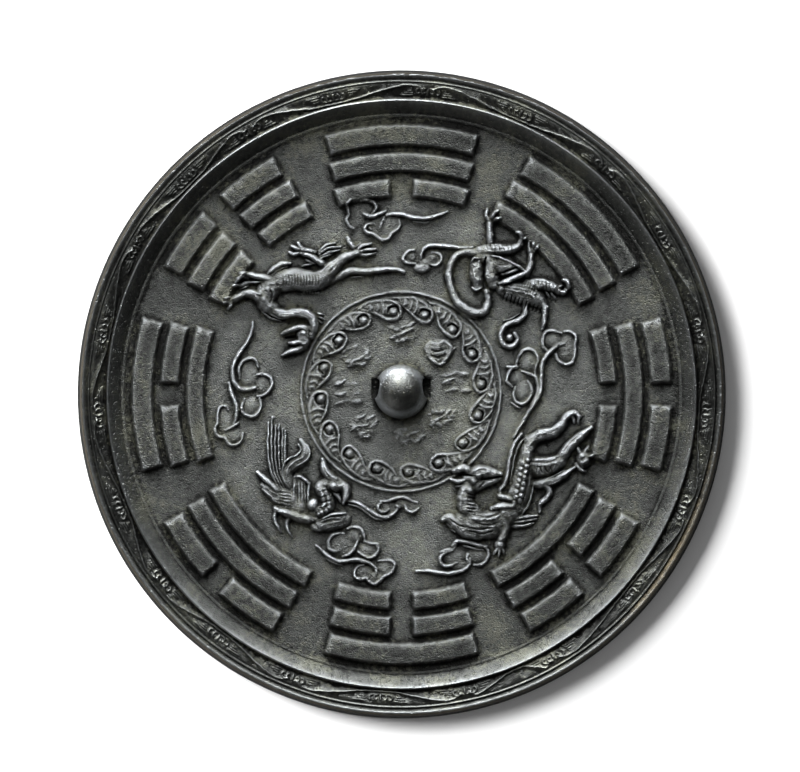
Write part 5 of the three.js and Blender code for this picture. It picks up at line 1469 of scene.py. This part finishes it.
@dataclass(frozen=True)
class BronzeFinish:
    """A finish of the old bronze: colours of its hollows, with dark patina and painted shade, of its skin,
    and of its worn crests, with wear and painted highlight, and how rough they are.
    """

    name: str
    shaded_hollow: tuple[float, float, float]
    skin: tuple[float, float, float]
    worn_and_lit: tuple[float, float, float]
    metallic: float
    rough_skin: float
    rough_worn: float
    rough_polished: float
    grain: float
    blotch: float
    pits: float
    depth_mm: float
    gloss: float = 0.5
    stains: tuple[Stain, ...] = ()
    mottling: float = 0.6
    hollow_wear: float = 0.15
    skin_wear: float = 0.45
    worn_wear: float = 0.85
    rough_range: tuple[float, float] = (0.35, 0.9)
    polish_calms: float = 0.65

    def material(self) -> bpy.types.Material:
        """Builds the material from the cast grain and the casting's own wear, which also paints shade into
        the hollows and highlight onto the crests.

        Returns:
            The new material.
        """
        made = bpy.data.materials.new(self.name)
        made.use_nodes = True
        tree = made.node_tree
        tree.nodes.clear()
        link = tree.links.new
        out = node(tree, "ShaderNodeOutputMaterial")
        bronze = node(tree, "ShaderNodeBsdfPrincipled", Metallic=self.metallic, Specular_IOR_Level=self.gloss)
        link(bronze.outputs[0], out.inputs[0])
        grain = node(
            tree, "ShaderNodeGroup", node_tree=CastGrain().group(),
            Grain=self.grain, Blotch=self.blotch, Pits=self.pits,
        )
        tone = grain.outputs["Tone"]
        # This attribute holds real wear together with painted shade in hollows and painted highlight on
        # crests
        wear_and_shading = node(tree, "ShaderNodeAttribute", attribute_name="wear_and_shading").outputs["Fac"]
        polish = node(tree, "ShaderNodeAttribute", attribute_name="polish").outputs["Fac"]
        mottled = reckon(tree, "MULTIPLY_ADD", tone, self.mottling, -self.mottling / 2)
        worn_and_lit = reckon(tree, "ADD", wear_and_shading, mottled, clamped=True)
        link(self.tint(tree, worn_and_lit, tone), bronze.inputs["Base Color"])
        rough = node(
            tree, "ShaderNodeMapRange", From_Min=self.rough_range[0], From_Max=self.rough_range[1],
            To_Min=self.rough_skin, To_Max=self.rough_worn,
        )
        link(worn_and_lit, rough.inputs["Value"])
        handled = node(tree, "ShaderNodeMix", data_type="FLOAT", B=self.rough_polished)
        link(polish, handled.inputs["Factor"])
        link(rough.outputs[0], handled.inputs["A"])
        link(handled.outputs[0], bronze.inputs["Roughness"])
        calm = reckon(tree, "MULTIPLY_ADD", polish, -self.polish_calms, 1.0)
        bump = node(tree, "ShaderNodeBump", Strength=1.0, Distance=self.depth_mm * MM)
        link(reckon(tree, "MULTIPLY", grain.outputs["Height"], calm), bump.inputs["Height"])
        link(bump.outputs[0], bronze.inputs["Normal"])
        return made

    def tint(
        self, tree: bpy.types.NodeTree, worn_and_lit: bpy.types.NodeSocket, tone: bpy.types.NodeSocket
    ) -> bpy.types.NodeSocket:
        """Colours the bronze from its hollows, dark with patina and painted shade, to its worn crests, pale
        with wear and painted highlight, and lays the stains over it.

        Args:
            tree: The material's tree.
            worn_and_lit: The output that says how worn a place is, low in hollows where shade is painted and
                high on crests where highlight is painted.
            tone: The output with the cast skin's tone.

        Returns:
            The output with the colour.
        """
        link = tree.links.new
        colours = node(tree, "ShaderNodeValToRGB")
        ramp = colours.color_ramp
        # The ramp paints shade into hollows (near black) and highlight onto crests (pale bluish), on top of
        # the real patina and wear
        ramp.elements[0].position = self.hollow_wear
        ramp.elements[0].color = (*self.shaded_hollow, 1)
        ramp.elements[1].position = self.worn_wear
        ramp.elements[1].color = (*self.worn_and_lit, 1)
        ramp.elements.new(self.skin_wear).color = (*self.skin, 1)
        link(worn_and_lit, colours.inputs[0])
        tinted = colours.outputs[0]
        for stain in self.stains:
            mask = 1.0
            if stain.place:
                mask = node(tree, "ShaderNodeAttribute", attribute_name=stain.place).outputs["Fac"]
            edge = node(
                tree, "ShaderNodeMapRange", interpolation_type="SMOOTHSTEP",
                From_Min=stain.begins, From_Max=stain.full, To_Min=0.0, To_Max=stain.strength,
            )
            link(reckon(tree, "MULTIPLY", tone, mask, clamped=True), edge.inputs["Value"])
            mix = node(tree, "ShaderNodeMix", data_type="RGBA")
            link(edge.outputs[0], mix.inputs["Factor"])
            link(tinted, mix.inputs[6])
            mix.inputs[7].default_value = (*stain.colour, 1)
            tinted = mix.outputs[2]
        return tinted


OLD_BRONZE = BronzeFinish(
    name="old_bronze",
    # Hollow colour: dark patina and painted shade; worn colour: pale bluish crests of wear and painted
    # highlight
    shaded_hollow=(0.014, 0.014, 0.013),
    skin=(0.105, 0.108, 0.102),
    worn_and_lit=(0.46, 0.48, 0.5),
    metallic=0.95,
    rough_skin=0.44,
    rough_worn=0.33,
    rough_polished=0.34,
    grain=1.3,
    blotch=0.8,
    pits=0.8,
    depth_mm=0.36,
    stains=(
        Stain((0.125, 0.125, 0.09), 0.5, 0.48, 0.62),
        Stain((0.26, 0.2, 0.11), 0.6, 0.3, 0.62, "warm"),
        Stain((0.5, 0.62, 0.52), 0.8, 0.25, 0.5, "chip"),
    ),
)
# The outer edge is painted near black and kept from reflecting: a dull cast edge together with painted shade
# where the lit table would show in it
DULL_SHADED_EDGE = BronzeFinish(
    name="dull_shaded_edge",
    shaded_hollow=(0.007, 0.007, 0.006),
    skin=(0.024, 0.023, 0.02),
    worn_and_lit=(0.08, 0.068, 0.048),
    metallic=0.0,
    rough_skin=0.95,
    rough_worn=0.85,
    rough_polished=0.9,
    grain=1.0,
    blotch=1.0,
    pits=0.6,
    depth_mm=0.3,
    gloss=0.1,
)
MIRROR_FACE = BronzeFinish(
    name="reflecting_face",
    shaded_hollow=(0.08, 0.085, 0.07),
    skin=(0.17, 0.175, 0.16),
    worn_and_lit=(0.26, 0.26, 0.24),
    metallic=0.95,
    rough_skin=0.3,
    rough_worn=0.2,
    rough_polished=0.22,
    grain=0.1,
    blotch=0.5,
    pits=1.2,
    depth_mm=0.08,
)


@dataclass(frozen=True)
class WearAndShadingMap:
    """How worn each point of the casting is, with painted shade in its hollows and painted highlight on its
    crests, and how hand-smoothed, warmly stained and chipped it is.
    """

    plain_wear: float = 0.45
    near_blur: float = 0.9
    wide_blur: float = 4.0
    # How strongly the relief paints shade into hollows and highlight onto crests, together with the wear
    relief_contrast: float = 0.5
    height_loss: float = 0.02
    highest_loss: float = 3.0
    outer_loss: float = 0.105
    outer_begins: float = 62.0
    outer_fade: float = 6.0
    bar_wear: float = 0.27
    bar_zone: tuple[float, float] = (67.0, 93.0)
    bar_tops: tuple[float, float] = (1.4, 2.3)
    rim_begins: float = 95.0
    slope_ends: float = 99.4
    rim_wear: float = 0.32
    slope_wear: float = 0.38
    rim_polish: float = 1.1
    slope_polish: float = 0.35
    polish_radii: tuple[float, ...] = (95, 95.8, 99, 99.8)
    knob_reach: float = 9.6
    knob_fade: float = 0.6
    warm_begins: float = 104.0
    warm_fade: float = 3.0
    warm_bearing: float = 118.0
    warm_spread: float = 0.62
    chip_place: Point = (-53.8, 50.2)
    chip_strength: float = 1.5
    chip_size: float = 1.7
    chip_foot: float = 0.8

    def store(self, mesh: bpy.types.Mesh, surface: CastingSurface) -> None:
        """Stores the four values as attributes of the mesh's points.

        Args:
            mesh: The casting's mesh, in metres.
            surface: The decorated side that it was made from.
        """
        points = np.zeros(len(mesh.vertices) * 3)
        mesh.vertices.foreach_get("co", points)
        x, y, z = points.reshape(-1, 3).T / MM
        values = {
            "wear_and_shading": self.wear_and_shading(surface, x, y, z),
            "polish": self.polish(x, y),
            "warm": self.warm(x, y),
            "chip": self.chip(x, y, z),
        }
        for name, value in values.items():
            mesh.attributes.new(name, "FLOAT", "POINT").data.foreach_set("value", value.astype(np.float32))

    def wear_and_shading(self, surface: CastingSurface, x: np.ndarray, y: np.ndarray, z: np.ndarray) -> np.ndarray:
        """Tells how worn each point is, from how far it stands out of its surroundings; the same value paints
        shade into its hollows and highlight onto its crests.

        Args:
            surface: The decorated side.
            x: The points' places, in millimetres.
            y: Their second coordinate.
            z: Their heights.

        Returns:
            A value for each point, from 0 in a hollow to 1 on a crest.
        """
        # Sunken points get darker and raised points lighter: partly real patina and wear, partly painted
        # shade in hollows and painted highlight on crests
        fine = z - surface.sample(surface.levelled(self.near_blur), x, y)
        broad = z - surface.sample(surface.levelled(self.wide_blur), x, y)
        loss = np.clip(broad, 0, self.highest_loss) * self.height_loss
        wear_and_shading = np.clip(self.plain_wear + fine * self.relief_contrast - loss, 0, 1)
        wear_and_shading[z < 1] = self.plain_wear
        radius = np.hypot(x, y)
        wear_and_shading -= self.outer_loss * np.clip((radius - self.outer_begins) / self.outer_fade, 0, 1)
        in_zone = (radius > self.bar_zone[0]) & (radius < self.bar_zone[1])
        low, high = (FIELD_THICKNESS + top for top in self.bar_tops)
        bars = in_zone & (z > low) & (z < high)
        wear_and_shading[bars] = np.minimum(wear_and_shading[bars], self.bar_wear + np.clip(fine[bars], 0, 1) * self.relief_contrast)
        on_rim = radius > self.rim_begins
        worn_rim = np.where(radius < self.slope_ends, self.slope_wear, self.rim_wear)[on_rim]
        wear_and_shading[on_rim] = np.clip(worn_rim + np.clip(fine[on_rim], -1, 0.5) * self.relief_contrast, 0, 1)
        return wear_and_shading

    def polish(self, x: np.ndarray, y: np.ndarray) -> np.ndarray:
        """Tells how much hands smoothed each point: most on the knob and the rim.

        Args:
            x: The points' places, in millimetres.
            y: Their second coordinate.

        Returns:
            A value for each point, 0 where it was left as it was cast.
        """
        levels = (0, self.slope_polish, self.slope_polish, self.rim_polish)
        smoothed = np.interp(np.hypot(x, y), self.polish_radii, levels)
        from_knob = np.hypot(x - CENTRE_SHIFT[0], y - CENTRE_SHIFT[1])
        return np.maximum(smoothed, np.clip((self.knob_reach - from_knob) / self.knob_fade, 0, 1))

    def warm(self, x: np.ndarray, y: np.ndarray) -> np.ndarray:
        """Tells how much the warm stain at the lower right of the rim covers each point.

        Args:
            x: The points' places, in millimetres.
            y: Their second coordinate.

        Returns:
            A value for each point, from 0 to 1.
        """
        outwards = np.clip((np.hypot(x, y) - self.warm_begins) / self.warm_fade, 0, 1)
        offset = (np.arctan2(x, y) - math.radians(self.warm_bearing)) / self.warm_spread
        return outwards * np.exp(-(offset**2))

    def chip(self, x: np.ndarray, y: np.ndarray, z: np.ndarray) -> np.ndarray:
        """Tells where the pale chip on the bars at the upper left is.

        Args:
            x: The points' places, in millimetres.
            y: Their second coordinate.
            z: Their heights.

        Returns:
            A value for each point, from 0 to 1.
        """
        distance = np.hypot(x - self.chip_place[0], y - self.chip_place[1])
        near = np.clip(self.chip_strength - distance / self.chip_size, 0, 1)
        return near * (z > FIELD_THICKNESS + self.chip_foot)


@dataclass
class MirrorCasting:
    """The whole mirror: the reliefs on its decorated side, its edge and its flat face, as one body."""

    triangle_budget: int = 186000
    foot_chamfer: float = 0.35
    face_ring: float = 60.0
    edge_radius: float = 108.2
    edge_tilt: float = 0.93
    face_tilt: float = -0.9
    face_height: float = 0.5
    wear_and_shading: WearAndShadingMap = WearAndShadingMap()
    rim: Rim = field(default_factory=Rim)
    trigrams: Trigrams = field(default_factory=Trigrams)
    inner: InnerGroup = field(default_factory=InnerGroup)
    knob: Knob = field(default_factory=Knob)

    def surface(self) -> CastingSurface:
        """Shapes the decorated side: figures, bars, inner group, knob and rim, and last the uneven skin.

        Returns:
            The finished decorated side.
        """
        surface = CastingSurface()
        for animal in (TIGER, TORTOISE, DRAGON, PHOENIX):
            animal.shape(surface)
            LOG.info("relief %s", animal.name)
        for cloud in CLOUDS:
            cloud.shape(surface)
            LOG.info("relief %s", cloud.name)
        self.trigrams.shape(surface)
        self.inner.shape_ring(surface)
        self.inner.shape_petals(surface)
        self.inner.shape_groups(surface)
        self.knob.shape(surface)
        self.rim.raise_profile(surface)
        self.rim.trace_vine(surface)
        surface.ripple()
        surface.z = np.minimum(surface.z, FIELD_THICKNESS + self.knob.height)
        return surface

    def closed_mesh(self, surface: CastingSurface) -> bpy.types.Mesh:
        """Closes the decorated side with the foot of the edge and the flat face.

        Args:
            surface: The finished decorated side.

        Returns:
            A closed mesh in metres.
        """
        top = np.stack([surface.x, surface.y, surface.z], 1)
        faces = [surface.triangles()]
        count = int(surface.counts[-1])
        start = len(top) - count
        angle = np.arange(count) * 2 * math.pi / count
        points = [top]
        total = len(top)
        j = np.arange(count)
        for radius, height in (
            (RIM_RADIUS, self.foot_chamfer),
            (RIM_RADIUS - self.foot_chamfer, 0.0),
            (self.face_ring, 0.0),
        ):
            level = np.full(count, height)
            points.append(np.stack([radius * np.cos(angle), radius * np.sin(angle), level], 1))
            a, b = start + j, start + (j + 1) % count
            c, d = total + j, total + (j + 1) % count
            faces.append(np.stack([a, c, d], 1))
            faces.append(np.stack([a, d, b], 1))
            start = total
            total += count
        points.append(np.zeros((1, 3)))
        faces.append(np.stack([start + j, np.full(count, total), start + (j + 1) % count], 1))
        return build_mesh("bronze_mirror", np.vstack(points) * MM, np.vstack(faces))

    def build(self) -> bpy.types.Object:
        """Builds the casting, thins its mesh, drills the cord hole and dresses it.

        Returns:
            The mirror as one piece.
        """
        surface = self.surface()
        mesh = self.closed_mesh(surface)
        LOG.info("casting before thinning: %d triangles", len(mesh.polygons))
        body = bpy.data.objects.new("bronze_mirror", mesh)
        bpy.context.scene.collection.objects.link(body)
        thin = body.modifiers.new("thin", "DECIMATE")
        thin.ratio = self.triangle_budget / len(mesh.polygons)
        settle(body)
        tunnel = self.knob.drill()
        hole = body.modifiers.new("cord_hole", "BOOLEAN")
        hole.operation = "DIFFERENCE"
        hole.object = tunnel
        hole.solver = "MANIFOLD"
        settle(body)
        bpy.data.objects.remove(tunnel)
        self.wear_and_shading.store(body.data, surface)
        body.data.materials.clear()
        for finish in (OLD_BRONZE, MIRROR_FACE, DULL_SHADED_EDGE):
            body.data.materials.append(finish.material())
        self.dress(body.data)
        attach(body, "root")
        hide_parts("mirror")
        LOG.info("bronze mirror: %d faces, %d vertices", len(body.data.polygons), len(body.data.vertices))
        return body

    def dress(self, mesh: bpy.types.Mesh) -> None:
        """Gives the underside its own finish and the edge its dark finish of dull bronze and painted shade,
        and shades every face smooth.

        Args:
            mesh: The casting's mesh, in metres.
        """
        normals = np.zeros(len(mesh.polygons) * 3)
        mesh.polygons.foreach_get("normal", normals)
        centres = np.zeros(len(mesh.polygons) * 3)
        mesh.polygons.foreach_get("center", centres)
        normals, centres = normals.reshape(-1, 3), centres.reshape(-1, 3) / MM
        below = (normals[:, 2] < self.face_tilt) & (centres[:, 2] < self.face_height)
        # Outward-facing edge faces get the dark finish of painted shade
        outside = np.hypot(centres[:, 0], centres[:, 1]) > self.edge_radius
        edge = outside & (normals[:, 2] < self.edge_tilt) & ~below
        mesh.polygons.foreach_set("material_index", (below + 2 * edge).astype(np.int32))
        mesh.polygons.foreach_set("use_smooth", np.ones(len(below), bool))
        mesh.update()


def build_mesh(name: str, points: np.ndarray, triangles: np.ndarray) -> bpy.types.Mesh:
    """Makes a mesh from arrays.

    Args:
        name: The mesh's name.
        points: One row for each point, in metres.
        triangles: One row of three indices for each triangle.

    Returns:
        The new mesh.
    """
    mesh = bpy.data.meshes.new(name)
    mesh.vertices.add(len(points))
    mesh.vertices.foreach_set("co", points.astype(np.float32).ravel())
    mesh.loops.add(len(triangles) * 3)
    mesh.loops.foreach_set("vertex_index", triangles.astype(np.int32).ravel())
    mesh.polygons.add(len(triangles))
    mesh.polygons.foreach_set("loop_start", np.arange(len(triangles), dtype=np.int32) * 3)
    mesh.update(calc_edges=True)
    mesh.validate()
    return mesh


def settle(body: bpy.types.Object) -> None:
    """Replaces a body's mesh with what its modifiers make of it.

    Args:
        body: The body, which is left without modifiers.
    """
    bpy.context.view_layer.update()
    done = bpy.data.meshes.new_from_object(body.evaluated_get(bpy.context.evaluated_depsgraph_get()))
    old = body.data
    body.modifiers.clear()
    body.data = done
    bpy.data.meshes.remove(old)


@dataclass
class Table:
    """The pale table that the mirror lies on."""

    size: float = 6.0
    colour: tuple[float, float, float] = (0.86, 0.86, 0.86)
    roughness: float = 0.9
    gap: float = 0.0002

    def build(self) -> bpy.types.Object:
        """Lays a wide plain sheet just under the mirror's face.

        Returns:
            The sheet, which is staging.
        """
        half = self.size / 2
        corners = [(-half, -half, 0), (half, -half, 0), (half, half, 0), (-half, half, 0)]
        mesh = bpy.data.meshes.new("table")
        mesh.from_pydata(corners, [], [(0, 1, 2, 3)])
        sheet = bpy.data.objects.new("table", mesh)
        sheet.location.z = -self.gap
        bpy.context.scene.collection.objects.link(sheet)
        paper = bpy.data.materials.new("pale_paper")
        paper.use_nodes = True
        shader = paper.node_tree.nodes["Principled BSDF"]
        shader.inputs["Base Color"].default_value = (*self.colour, 1)
        shader.inputs["Roughness"].default_value = self.roughness
        mesh.materials.append(paper)
        LOG.info("table")
        return sheet


@dataclass
class SoftLight:
    """One soft box, placed by its bearing, height angle and distance from the mirror."""

    name: str
    bearing: float
    elevation: float
    distance: float
    width: float
    height: float
    power: float
    colour: tuple[float, float, float] = (1.0, 1.0, 1.0)
    in_gloss: bool = True
    on_matt: bool = True

    def build(self) -> bpy.types.Object:
        """Hangs the soft box and turns it to the mirror.

        Returns:
            The light.
        """
        data = bpy.data.lights.new(self.name, "AREA")
        data.shape = "RECTANGLE"
        data.size = self.width
        data.size_y = self.height
        data.energy = self.power
        data.color = self.colour
        lamp = bpy.data.objects.new(self.name, data)
        turn, lift = math.radians(self.bearing), math.radians(self.elevation)
        where = Vector((math.cos(lift) * math.cos(turn), math.cos(lift) * math.sin(turn), math.sin(lift)))
        lamp.location = where * self.distance
        lamp.rotation_euler = where.to_track_quat("Z", "Y").to_euler()
        lamp.visible_glossy = self.in_gloss
        lamp.visible_diffuse = self.on_matt
        lamp.visible_camera = False
        bpy.context.scene.collection.objects.link(lamp)
        LOG.info("light %s", self.name)
        return lamp


@dataclass
class Studio:
    """Soft light from the top of the picture, a weaker one from the left and a dim room."""

    room: float = 0.03
    bounce: float = 0.2
    backdrop: float = 0.8
    lights: tuple[SoftLight, ...] = (
        SoftLight("window", 97, 47, 1.6, 1.5, 0.5, 26, (0.96, 0.98, 1.0), on_matt=False),
        SoftLight("window_foot", 99, 16, 1.6, 1.4, 0.6, 72, (0.96, 0.98, 1.0), on_matt=False),
        SoftLight("side_lamp", 148, 37, 1.6, 1.0, 1.0, 84, in_gloss=False),
        SoftLight("low_reflector", 233, 20, 1.4, 0.45, 0.35, 1.8, on_matt=False),
    )

    def build(self) -> None:
        """Lights the table and fills the room with a dim grey."""
        for light in self.lights:
            light.build()
        scene = bpy.context.scene
        world = bpy.data.worlds.new("room")
        world.use_nodes = True
        tree = world.node_tree
        tree.nodes.clear()
        out = node(tree, "ShaderNodeOutputWorld")
        path = node(tree, "ShaderNodeLightPath")
        dim, soft, pale = (
            node(tree, "ShaderNodeBackground", Color=(1, 1, 1, 1), Strength=strength).outputs[0]
            for strength in (self.room, self.bounce, self.backdrop)
        )
        for ray, instead in (("Is Diffuse Ray", soft), ("Is Camera Ray", pale)):
            mix = node(tree, "ShaderNodeMixShader")
            tree.links.new(path.outputs[ray], mix.inputs[0])
            tree.links.new(dim, mix.inputs[1])
            tree.links.new(instead, mix.inputs[2])
            dim = mix.outputs[0]
        tree.links.new(dim, out.inputs[0])
        scene.world = world
        scene.view_settings.view_transform = "Standard"


@dataclass
class PictureCamera:
    """A camera straight over the mirror, as far away as a long lens needs."""

    picture_width: int = 800
    pixels_per_mm: float = 2.95
    mirror_column: float = 401.7
    mirror_row: float = 394.3
    picture_middle: Point = (400.0, 386.0)
    distance: float = 5.0
    sensor: float = 36.0
    clip_end: float = 20.0

    def build(self) -> bpy.types.Object:
        """Sets up the camera so that the rim fills the frame as in the picture.

        Returns:
            The camera, which is the scene's.
        """
        data = bpy.data.cameras.new("camera")
        data.sensor_width = self.sensor
        data.sensor_fit = "HORIZONTAL"
        data.lens = self.sensor * self.distance / (self.picture_width / self.pixels_per_mm * MM)
        camera = bpy.data.objects.new("camera", data)
        right = (self.picture_middle[0] - self.mirror_column) / self.pixels_per_mm * MM
        up = (self.mirror_row - self.picture_middle[1]) / self.pixels_per_mm * MM
        camera.location = (right, up, self.distance + RIM_HEIGHT * MM)
        data.clip_end = self.clip_end
        bpy.context.scene.collection.objects.link(camera)
        bpy.context.scene.camera = camera
        LOG.info("camera")
        return camera


def main() -> None:
    """Builds the camera, the mirror, the table and the light."""
    logging.basicConfig(level=logging.INFO, format="%(message)s")
    PictureCamera().build()
    MirrorCasting().build()
    Table().build()
    Studio().build()


if __name__ == "__main__":
    main()
